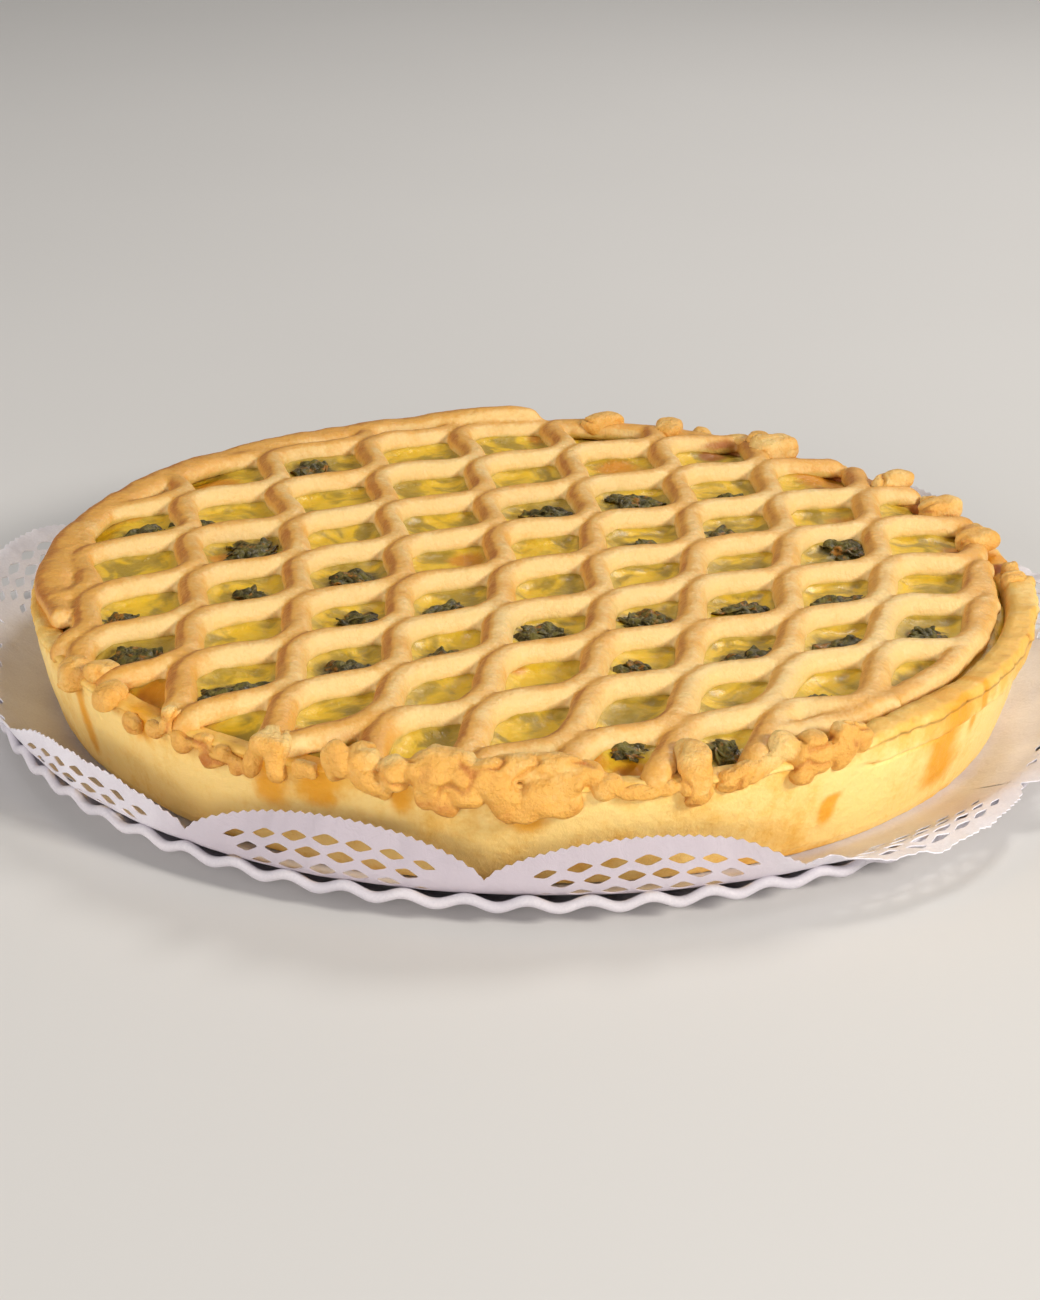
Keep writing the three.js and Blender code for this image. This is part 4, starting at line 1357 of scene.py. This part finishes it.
@dataclass
class LatticeTop:
    """The lattice: strands and rolls along the edge, baked as one."""

    net: StrandNet
    underside: float = 30.4
    top: float = 37.3
    edge_start: float = 112.0
    edge_drop: float = 1.7
    roll_base: float = 32.0
    width: float = 6.3
    voxel: float = 1.0
    end_rounding: float = 4.0
    end_scatter: float = 2.4
    end_shift: float = -0.8
    droop_from: float = 131.0
    droop_rate: float = 0.075
    roll_steps: int = 140
    roll_taper: float = 0.12
    relief: tuple[Bumps, ...] = (Bumps(81, 9.0, 2, 0.30), Bumps(82, 2.8, 2, 0.13))
    # Facings that get painted shade (with some real browning) and painted light.
    browned_and_shaded_side: tuple[float, float, float] = (-0.66, 0.62, 0.0)
    lit_pale_side: tuple[float, float, float] = (0.2, -1.0, 0.0)
    brown_front: tuple[float, float] = (235, 75)
    pale_right: tuple[float, float] = (325, 38)
    burnt: tuple[Spot, ...] = (
        (90, 76, 11), (60, 112, 10), (-112, -14, 7), (125, 22, 5), (-62, -120, 5),
    )
    rolls: tuple[Roll, ...] = (
        Roll(89, 200, 131.0, 10.0, 4.2, 3.4), Roll(-64, 9, 125.0, 6.6, 3.9),
        Roll(62, 88, 130.0, 9.0, 3.6),
    )
    finish: DoughFinish = DoughFinish(
        "lattice_dough", (0.86, 0.605, 0.245), (0.745, 0.375, 0.068), (0.45, 0.14, 0.016),
        scorched=(0.38, 0.12, 0.008), flake_mm=0.13,
    )

    def strands(self, pile: Pile, blank: Blank) -> None:
        """Lays every strand.

        Args:
            pile: Where they go.
            blank: The straight strand.
        """
        draw = seeded(71)
        grain = Grain(72)
        for path in self.net.paths():
            extra = self.end_scatter * draw() + self.end_shift
            kept = self.net.trimmed(path, extra)
            if kept is None:
                continue
            flat = np.column_stack([kept, np.zeros(len(kept))])
            radius = radius_of(kept)
            wide = self.width * (1 + 0.09 * grain.at(flat, 17.0) + 0.05 * grain.at(flat, 6.0))
            drop = self.edge_drop * smooth(self.edge_start, self.net.edge_radius, radius)
            high = self.top - drop + 0.45 * grain.at(flat + 50, 15.0)
            droop = self.droop_rate * np.maximum(0, radius - self.droop_from) ** 2
            low = np.full(len(kept), self.underside) - droop
            ends = tuple(
                self.end_rounding if at > self.net.edge_radius - 3 else 0.0
                for at in (radius[0], radius[-1])
            )
            pile.add(blank.bent(kept, wide, low, high - droop, ends), blank.faces)

    def edge_rolls(self, pile: Pile) -> None:
        """Lays the rolls of dough along the edge."""
        grain = Grain(73)
        long_blank = Blank(stations=110, flare=0.1)
        for roll in self.rolls:
            share = np.linspace(0, 1, self.roll_steps)
            angle = np.radians(np.linspace(roll.start, roll.end, self.roll_steps))
            flat = np.column_stack([np.cos(angle), np.sin(angle), 0 * angle]) * roll.radius
            radius = roll.radius + 0.9 * grain.at(flat, 21.0)
            path = np.column_stack([radius * np.cos(angle), radius * np.sin(angle)])
            wide = roll.width * (1 + 0.12 * grain.at(flat + 9, 26.0))
            inward = smooth(0, self.roll_taper, np.minimum(share, 1 - share))
            wide = wide * (0.55 + 0.45 * inward)
            lift = roll.lift * (1 - smooth(0, 0.25, share))
            bumpy = 0.6 * grain.at(flat + 77, 18.0) + 0.55 * grain.at(flat + 31, 6.5)
            high = self.roll_base + roll.height + lift + bumpy
            low = np.full(self.roll_steps, self.underside)
            ends = (self.end_rounding, self.end_rounding)
            pile.add(long_blank.bent(path, wide, low, high, ends), long_blank.faces)

    def fused(self, pile: Pile) -> bpy.types.Object:
        """Bakes the bodies on the pile into one.

        Args:
            pile: All strands, rolls and ends.

        Returns:
            The dough, with its relief.
        """
        dough = Bench.baked(pile, "lattice_dough", self.voxel)
        points = Bench.points(dough)
        relief = sum(bumps.at(points) for bumps in self.relief)
        Bench.reshape(dough, points + Bench.normals(dough) * relief[:, None])
        triangles = 2 * len(dough.data.polygons)
        if triangles > MOST_TRIANGLES:
            Bench.modify(dough, "DECIMATE", ratio=MOST_TRIANGLES / triangles)
        return dough

    def brown(self, dough: bpy.types.Object) -> None:
        """Stores toasting and scorch, with painted shade on back-left shoulders and light on front
        faces.
        """
        points = Bench.points(dough)
        normals = Bench.normals(dough)
        radius = radius_of(points)
        degrees = degrees_of(points)
        # Painted shade: shoulders facing back and left get browner, partly real browning; less to
        # the right.
        shaded_shoulder = smooth(-0.05, 0.42, normals @ np.array(self.browned_and_shaded_side))
        shaded_shoulder = shaded_shoulder * smooth(33.6, 36.0, points[:, 2])
        # Painted light: faces turned to the front are made paler.
        front = smooth(0.15, 0.7, normals @ np.array(self.lit_pale_side))
        edge = 1.0 - 0.5 * smooth(-80, 90, points[:, 0])
        toast_and_shading = 0.36 + Bumps(91, 34.0, 2, 0.26).at(points) + edge * shaded_shoulder - 0.34 * front
        toast_and_shading += 0.30 * smooth(104, 134, radius)
        tip = smooth(132.5, 138.5, radius)
        angle, width = self.brown_front
        toast_and_shading += 0.30 * tip * (0.6 + 0.6 * bell(degrees - angle, width))
        angle, width = self.pale_right
        right = bell(off(degrees, angle), width)
        toast_and_shading -= 0.20 * right * smooth(60, 110, radius) * (1 - tip)
        Bench.tag(dough, "toast_and_shading", toast_and_shading)
        foot = 1 - smooth(31.6, 34.2, points[:, 2] + Bumps(92, 5.0, 2, 0.8).at(points))
        Bench.tag(dough, "moist", foot * (1 - smooth(126, 131, radius)))
        burnt = 0.75 * near_spots(points, self.burnt)
        Bench.tag(dough, "scorch", burnt * smooth(37.5, 34.0, points[:, 2]))

    def build(self) -> bpy.types.Object:
        """Makes the lattice.

        Returns:
            The finished piece.
        """
        pile = Pile()
        self.strands(pile, Blank())
        self.edge_rolls(pile)
        dough = self.fused(pile)
        self.brown(dough)
        Bench.soften(dough)
        settle(dough, self.finish.material(), "lattice")
        return dough


@dataclass(frozen=True)
class Fold:
    """A tongue of dough on the rim, by the place of its middle.

    Its size runs outwards, along the rim and upwards. It is rolled about the outward line,
    then tilted, then turned about the upright, in degrees. Its outer end hangs by `droop`.
    """

    degrees: float
    radius: float
    above: float
    size: tuple[float, float, float]
    turn: float = 0.0
    roll: float = 0.0
    tilt: float = 0.0
    droop: float = 0.0


@dataclass
class RimFolds:
    """Dough ends on the rim: folded, pinched and torn tongues, baked to one crumpled piece."""

    rim_top: float = 31.7
    squareness: float = 0.74
    crumple: float = 0.7
    voxel: float = 0.5
    folds: tuple[Fold, ...] = (
        Fold(-147.6, 136.3, -0.4, (9, 10, 8), droop=2), Fold(-144, 133, 2.4, (9, 7, 5)),
        Fold(-139.8, 136.6, 0.2, (9, 8, 6.5), 10, droop=2), Fold(-135.2, 137.6, -3.2, (4, 6.5, 5)),
        Fold(-131.8, 137.2, -2.6, (3.5, 5, 4)), Fold(-130, 135.6, 1.2, (7, 5, 6), droop=2),
        Fold(-127.6, 137.4, -2.8, (3.5, 7, 5), roll=20), Fold(-125.2, 136.6, -1.2, (4, 6, 4)),
        Fold(-123.2, 137.6, -3.6, (3.6, 11, 5.5), roll=22), Fold(-120.6, 137.4, -4.4, (3, 6, 5)),
        Fold(-118.5, 136.9, -1.8, (5, 4.4, 9), roll=-12, droop=1),
        Fold(-116.0, 137.2, -1.0, (6, 5, 11), roll=8), Fold(-117, 134.2, 2.4, (11, 10, 6), 20),
        Fold(-112.8, 136.8, -1.6, (4, 7, 5)),
        Fold(-109.4, 136.2, 1.6, (6, 8, 10), -10, 24), Fold(-107, 133.6, 2.6, (10, 8, 6), 15),
        Fold(-105.6, 136.9, -2.0, (6, 11, 6.5), roll=-22),
        Fold(-103.1, 136.0, 1.0, (8, 8, 8.5), 20, 28), Fold(-100.6, 134.6, 2.4, (10, 7, 6)),
        Fold(-98.3, 134.3, 3.0, (12, 14, 9), droop=2),
        Fold(-99.6, 136.9, -1.2, (7, 8, 12), roll=-14),
        Fold(-96.3, 137.0, -0.6, (7, 8, 12), roll=16), Fold(-98.0, 137.6, -5.0, (5, 7, 6)),
        Fold(-94.4, 136.2, 1.6, (8, 8, 9), roll=24), Fold(-92.6, 137.2, -2.2, (6, 8, 15), roll=34),
        Fold(-89.4, 133.2, 3.3, (7.5, 25, 6.5), 2), Fold(-88.0, 136.9, -3.2, (6, 15, 9.5), 4),
        Fold(-86.6, 136.4, 0.6, (6, 9, 6), -12, -10), Fold(-90.3, 137.6, -6.0, (4.5, 8, 6)),
        Fold(-84.0, 134.4, 2.2, (6, 7, 4.5), 10), Fold(-82.4, 136.6, -0.6, (4.5, 8, 5.5), roll=34),
        Fold(-79.2, 137.0, -2.2, (3.5, 9, 3.6)), Fold(-76.6, 136.6, -1.6, (3.5, 6, 3.6)),
        Fold(-73.4, 137.1, -1.2, (5, 8.2, 12), roll=-6),
        Fold(-73.2, 132.6, 3.4, (13, 8, 6.5), -6, droop=2),
        Fold(-67.2, 135.8, -0.2, (5, 20, 5), 10, 9), Fold(-69.6, 137.2, -3.0, (3, 8, 3.2)),
        Fold(-63.2, 133.8, 3.4, (7, 7.5, 7), roll=-20),
        Fold(-60.4, 135.6, 0.9, (9, 11, 11), 12, 8),
        Fold(-61.8, 137.2, -2.8, (4.5, 7, 6)), Fold(-56.8, 135.8, 1.2, (7, 8, 13), -8, -26),
        Fold(-54.4, 135.2, 1.6, (6, 8, 7)),
        Fold(80, 130.6, 3.4, (15, 8.5, 6.5), -48), Fold(70.5, 131.4, 3.3, (13, 8.5, 6), 14),
        Fold(66.3, 134.6, 1.0, (6, 7, 6.5)), Fold(60.8, 133.6, 1.6, (7, 9, 5.5), 10),
        Fold(54.4, 130.2, 3.4, (16, 12, 8.5), -24), Fold(57.6, 133.2, 3.0, (8, 7, 7.5), 12),
        Fold(45.5, 135.6, -0.2, (4.5, 12, 4)), Fold(34, 131.0, 3.6, (15, 8.5, 6.5), tilt=-8),
        Fold(22.8, 130.6, 3.4, (14, 8.5, 7), tilt=-8), Fold(27.6, 135.4, 0.2, (5, 9, 5)),
        Fold(16.6, 135.2, 0.4, (5, 10, 5)), Fold(10.6, 129.6, 3.4, (13, 9, 6.5), 10, tilt=-6),
        Fold(3.2, 134.6, 1.0, (5, 5.5, 5.5)), Fold(-2.2, 133.4, 2.2, (7, 8, 6)),
    )
    finish: DoughFinish = DoughFinish(
        "folded_dough", (0.86, 0.595, 0.22), (0.80, 0.41, 0.075), (0.50, 0.16, 0.016),
        mottle=0.8, flake_mm=0.32, relief_mm=1.4,
    )

    def tongue(self, unit: np.ndarray, fold: Fold, number: int) -> np.ndarray:
        """Shapes one tongue.

        Args:
            unit: A ball of radius 1.
            fold: Its place and size.
            number: Which one it is.

        Returns:
            Its vertices in millimetres.
        """
        grain = Grain(740 + number)
        body = np.sign(unit) * np.abs(unit) ** self.squareness * np.array(fold.size) / 2
        outward = np.clip(2 * body[:, 0] / fold.size[0], -0.2, 1)
        body[:, 2] -= fold.droop * outward**2
        shift = np.column_stack([grain.at(body + 17 * axis, 5.5) for axis in range(3)])
        body = body + self.crumple * shift
        turns = (("X", fold.roll), ("Y", fold.tilt), ("Z", fold.degrees + fold.turn))
        for axis, angle in turns:
            body = body @ np.array(Matrix.Rotation(math.radians(angle), 3, axis)).T
        centre = polar(fold.radius, fold.degrees)
        return body + [centre[0], centre[1], self.rim_top + fold.above]

    def build(self) -> bpy.types.Object:
        """Makes the folded dough.

        Returns:
            The finished piece.
        """
        bpy.ops.object.select_all(action="DESELECT")
        bpy.ops.mesh.primitive_ico_sphere_add(subdivisions=5, radius=MM)
        unit, faces = Bench.template(bpy.context.object)
        pile = Pile()
        for number, fold in enumerate(self.folds):
            pile.add(self.tongue(unit, fold, number), faces)
        dough = Bench.baked(pile, "folded_dough", self.voxel)
        points = Bench.points(dough)
        normals = Bench.normals(dough)
        crease = bell(Grain(84).at(points, 9.0), 0.11)
        crease = crease * smooth(-0.25, 0.2, Grain(83).at(points, 9.0))
        torn = Grain(88).at(points, 2.6) * smooth(0.0, 0.5, Grain(89).at(points, 8.0))
        relief = Bumps(86, 6.0, 4, 0.5).at(points) - 0.9 * crease + 0.3 * torn
        Bench.reshape(dough, points + normals * relief[:, None])
        Bench.soften(dough)
        radius = radius_of(points)
        # The creases are darkened: painted shade in them.
        toast_and_shading = 0.40 + Bumps(87, 9.0, 3, 0.32).at(points) + 0.5 * crease + 0.2 * torn
        toast_and_shading += 0.22 * smooth(136, 139.5, radius) + 0.2 * smooth(29.5, 26.5, points[:, 2])
        Bench.tag(dough, "toast_and_shading", toast_and_shading)
        settle(dough, self.finish.material())
        return dough


@dataclass
class Filling:
    """The custard between the strands, with wilted spinach and baked spots."""

    net: StrandNet
    level: float = 31.6
    edge_level: float = 29.2
    radius: float = 130.1
    foot_radius: float = 124.9
    foot: float = 5.9
    rings: int = 120
    steps: int = 420
    bits: int = 5
    meniscus: tuple[float, float] = (3.4, 7.5)
    climb: float = 1.1
    leaf_thickness: float = 0.4
    leaf_rise: float = 0.45
    relief: tuple[Bumps, ...] = (Bumps(51, 15.0, 3, 0.9), Bumps(52, 4.5, 3, 0.35))
    leaves: tuple[Spot, ...] = (
        (-67, 86, 7), (-97, 32, 6), (-110, 24, 7), (-109, -42, 6), (-99, -68, 9), (-73, -89, 9),
        (-47, -74, 8), (-45, -40, 7), (-48, -8, 8), (-79, 12, 9), (-21, -32, 8), (3, -47, 9),
        (31, -36, 9), (57, -26, 7), (57, -62, 9), (81, -52, 9), (85, -22, 9), (104, -42, 6),
        (90, 22, 10), (55, 30, 8), (32, 22, 6), (31, 58, 9), (7, 45, 9), (24, -116, 6),
        (47, -117, 5), (71, -90, 6), (27, -68, 5), (-21, -64, 7), (-75, -22, 6), (58, 63, 6),
    )
    baked: tuple[Spot, ...] = (
        (-18, 11, 7), (-87, 9, 5), (104, -41, 5), (-114, -17, 8), (-95, 73, 9), (93, 45, 9),
        (122, 23, 7), (-93, -85, 8), (-82, -96, 8), (-57, -112, 7), (27, 93, 9), (62, -68, 4),
        (-5, -68, 5), (14, -124, 6), (84, -56, 4), (-66, 107, 12), (5, 122, 8), (-118, 43, 7),
        (118, -18, 5), (-124, -7, 7), (25, -127, 8), (38, -125, 7), (88, 86, 9), (81, 94, 8),
        (95, 78, 8),
    )
    burnt: tuple[Spot, ...] = (
        (87, 74, 7), (57, 108, 6), (-115, -17, 4), (-93, 69, 4), (120, 20, 4),
    )
    finish: CustardFinish = CustardFinish()
    leaf_finish: LeafFinish = LeafFinish()

    def surface(self, points: np.ndarray) -> np.ndarray:
        """Height of the custard at each plan position."""
        flat = np.column_stack([points[:, :2], np.zeros(len(points))])
        radius = radius_of(flat)
        height = self.level + sum(bumps.at(flat) for bumps in self.relief)
        height += 0.9 * near_spots(points, self.leaves, 1.15)
        return height + (self.edge_level - self.level) * smooth(121, self.radius, radius)

    def strand_distance(self, points: np.ndarray) -> np.ndarray:
        """Distance of each point to the nearest strand's middle line."""
        lines = np.concatenate([path[::2] for path in self.net.paths()])
        nearest = np.full(len(points), 1e9)
        for start in range(0, len(points), 4000):
            block = points[start:start + 4000, None, :2] - lines[None]
            nearest[start:start + 4000] = np.sqrt((block**2).sum(2).min(1))
        return nearest

    def custard(self) -> bpy.types.Object:
        """Makes the custard.

        Returns:
            The finished piece.
        """
        radii = np.linspace(0, self.radius, self.rings)
        profile = [(0, self.foot), (60, self.foot), (self.foot_radius, self.foot)]
        profile += [(self.foot_radius + 2.5, 18.0), (self.radius, self.edge_level - 1.0)]
        profile += [(float(radius), self.level) for radius in reversed(radii)]
        custard = Bench.spun("custard", profile, self.steps)
        points = Bench.points(custard)
        upper = points[:, 2] > self.level - 0.5
        near = 1 - smooth(*self.meniscus, self.strand_distance(points))
        height = self.surface(points) + self.climb * near
        points[:, 2] = np.where(upper, height, points[:, 2])
        Bench.reshape(custard, points)
        Bench.soften(custard)
        leaf = near_spots(points, self.leaves, 1.25)
        Bench.tag(custard, "leaf", leaf * (1 - 0.5 * near))
        Bench.tag(custard, "baked", near_spots(points, self.baked))
        Bench.tag(custard, "scorch", near_spots(points, self.burnt))
        Bench.tag(custard, "cream", near * 0.85)
        settle(custard, self.finish.material(), "filling")
        return custard

    def spinach(self) -> bpy.types.Object:
        """Makes the wilted leaves that stand out of the custard.

        Returns:
            The finished piece.
        """
        bpy.ops.object.select_all(action="DESELECT")
        bpy.ops.mesh.primitive_grid_add(x_subdivisions=18, y_subdivisions=12, size=1)
        unit, faces = Bench.template(bpy.context.object)
        unit = unit * MM
        pile = Pile()
        draw = seeded(57)
        for number, (x, y, size) in enumerate(self.leaves):
            for bit in range(self.bits):
                grain = Grain(600 + 7 * number + bit)
                long = size * (1.1 + 0.7 * draw())
                wide = size * (0.6 + 0.45 * draw())
                narrow = 1 - 1.3 * np.abs(unit[:, 0]) ** 1.6
                flat = np.column_stack([unit[:, 0] * long, unit[:, 1] * wide * narrow, unit[:, 2]])
                fold = 1.5 * grain.at(flat, 3.6) + 0.7 * grain.at(flat + 20, 1.7)
                ridge = 0.9 * np.cos(flat[:, 1] * 1.1 + 3 * draw()) + fold
                wobble = np.column_stack([grain.at(flat + 5, 4.0), grain.at(flat + 9, 4.0)])
                turn = math.tau * draw()
                plan = flat[:, :2] + 0.9 * wobble
                plan = plan @ np.array([[math.cos(turn), math.sin(turn)],
                                        [-math.sin(turn), math.cos(turn)]])
                spot = np.array([x, y]) + size * 0.45 * np.array([draw() - 0.5, draw() - 0.5]) * 2
                plan = plan + spot
                level = self.surface(plan) + self.leaf_rise + 0.7 * ridge
                pile.add(np.column_stack([plan, level]), faces)
        leaves = pile.piece("spinach")
        Bench.modify(leaves, "SOLIDIFY", thickness=self.leaf_thickness * MM, offset=0.0)
        Bench.soften(leaves)
        settle(leaves, self.leaf_finish.material())
        return leaves

    def build(self) -> None:
        """Makes the custard and its leaves."""
        self.custard()
        self.spinach()


@dataclass(frozen=True)
class Lamp:
    """One soft area light."""

    name: str
    place: tuple[float, float, float]
    size: float
    watts: float
    colour: Colour = (1.0, 1.0, 1.0)


@dataclass
class Studio:
    """The pale floor, the soft lights and the camera at the photograph's angle."""

    focal_px: float = 2741.31
    pitch: float = 0.39224
    roll: float = -0.01526
    camera_place: tuple[float, float, float] = (-2.697, -712.18, 303.85)
    sensor: float = 36.0
    floor_half: float = 3.0
    lamps: tuple[Lamp, ...] = (
        Lamp("key_light", (1.15, -0.76, 0.74), 0.36, 19.0, (1.0, 0.95, 0.87)),
        Lamp("front_light", (-0.35, -1.7, 0.30), 1.0, 15.0, (1.0, 0.955, 0.90)),
        Lamp("left_light", (-1.4, -0.4, 0.4), 1.0, 9.0, (1.0, 0.97, 0.94)),
        Lamp("back_light", (0.55, 0.95, 1.1), 0.4, 7.5, (1.0, 0.97, 0.93)),
    )
    world: Colour = (0.92, 0.90, 0.88)
    world_strength: float = 0.22

    def floor(self) -> None:
        """Makes the plain floor, curved up far behind."""
        bpy.ops.object.select_all(action="DESELECT")
        bpy.ops.mesh.primitive_plane_add(size=2 * self.floor_half)
        floor = Bench.named(bpy.context.object, "floor")
        Bench.choose(floor, "EDGE", lambda edge: min(
            floor.data.vertices[index].co.y for index in edge.vertices) > 0)
        bpy.ops.mesh.extrude_region_move(TRANSFORM_OT_translate={"value": (0, 0.4, 0.35)})
        bpy.ops.mesh.extrude_region_move(TRANSFORM_OT_translate={"value": (0, 0.3, 2.4)})
        Bench.done()
        recipe = Recipe("studio_floor")
        cloud = recipe.noise(300.0, detail=2)
        colour = recipe.mix(cloud, (0.68, 0.67, 0.66), (0.72, 0.71, 0.70))
        relief = recipe.bump(recipe.noise(3.0), 0.02)
        floor.data.materials.append(recipe.finish(colour, 0.75, relief))

    def lights(self) -> None:
        """Makes the lights and the soft surround."""
        for lamp in self.lamps:
            light = bpy.data.lights.new(lamp.name, "AREA")
            light.shape = "DISK"
            light.size = lamp.size
            light.energy = lamp.watts
            light.color = lamp.colour
            holder = bpy.data.objects.new(lamp.name, light)
            holder.location = lamp.place
            aim = Vector((0, 0, 0.02)) - Vector(lamp.place)
            holder.rotation_mode = "QUATERNION"
            holder.rotation_quaternion = aim.to_track_quat("-Z", "Y")
            bpy.context.collection.objects.link(holder)
        world = bpy.data.worlds.new("studio")
        world.use_nodes = True
        surround = world.node_tree.nodes["Background"]
        surround.inputs["Color"].default_value = (*self.world, 1)
        surround.inputs["Strength"].default_value = self.world_strength
        bpy.context.scene.world = world

    def camera(self) -> None:
        """Sets the camera where the photograph was taken from."""
        ahead = np.array([0, math.cos(self.pitch), -math.sin(self.pitch)])
        right = np.array([1.0, 0, 0])
        down = np.cross(ahead, right)
        cos, sin = math.cos(self.roll), math.sin(self.roll)
        turned_right = cos * right + sin * down
        turned_down = -sin * right + cos * down
        data = bpy.data.cameras.new("photo_camera")
        data.sensor_width = self.sensor
        data.lens = self.focal_px / PHOTO_HEIGHT_PX * self.sensor
        data.clip_start, data.clip_end = 0.01, 50.0
        camera = bpy.data.objects.new("photo_camera", data)
        axes = Matrix((turned_right, -turned_down, -ahead)).transposed()
        camera.matrix_world = Matrix.Translation(Vector(self.camera_place) * MM) @ axes.to_4x4()
        bpy.context.collection.objects.link(camera)
        bpy.context.scene.camera = camera

    def build(self) -> None:
        """Makes the whole studio; its picture keeps the colours as they are lit."""
        bpy.context.scene.view_settings.view_transform = "Standard"
        self.floor()
        self.lights()
        self.camera()


def main() -> None:
    """Builds the quiche and the studio round it."""
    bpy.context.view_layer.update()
    bpy.ops.object.select_all(action="DESELECT")
    studio = Studio()
    studio.build()
    plate = PaperPlate()
    plate.build()
    LaceDoily(plate).build()
    CrustShell().build()
    net = StrandNet()
    Filling(net).build()
    LatticeTop(net).build()
    RimFolds().build()


if __name__ == "__main__":
    main()
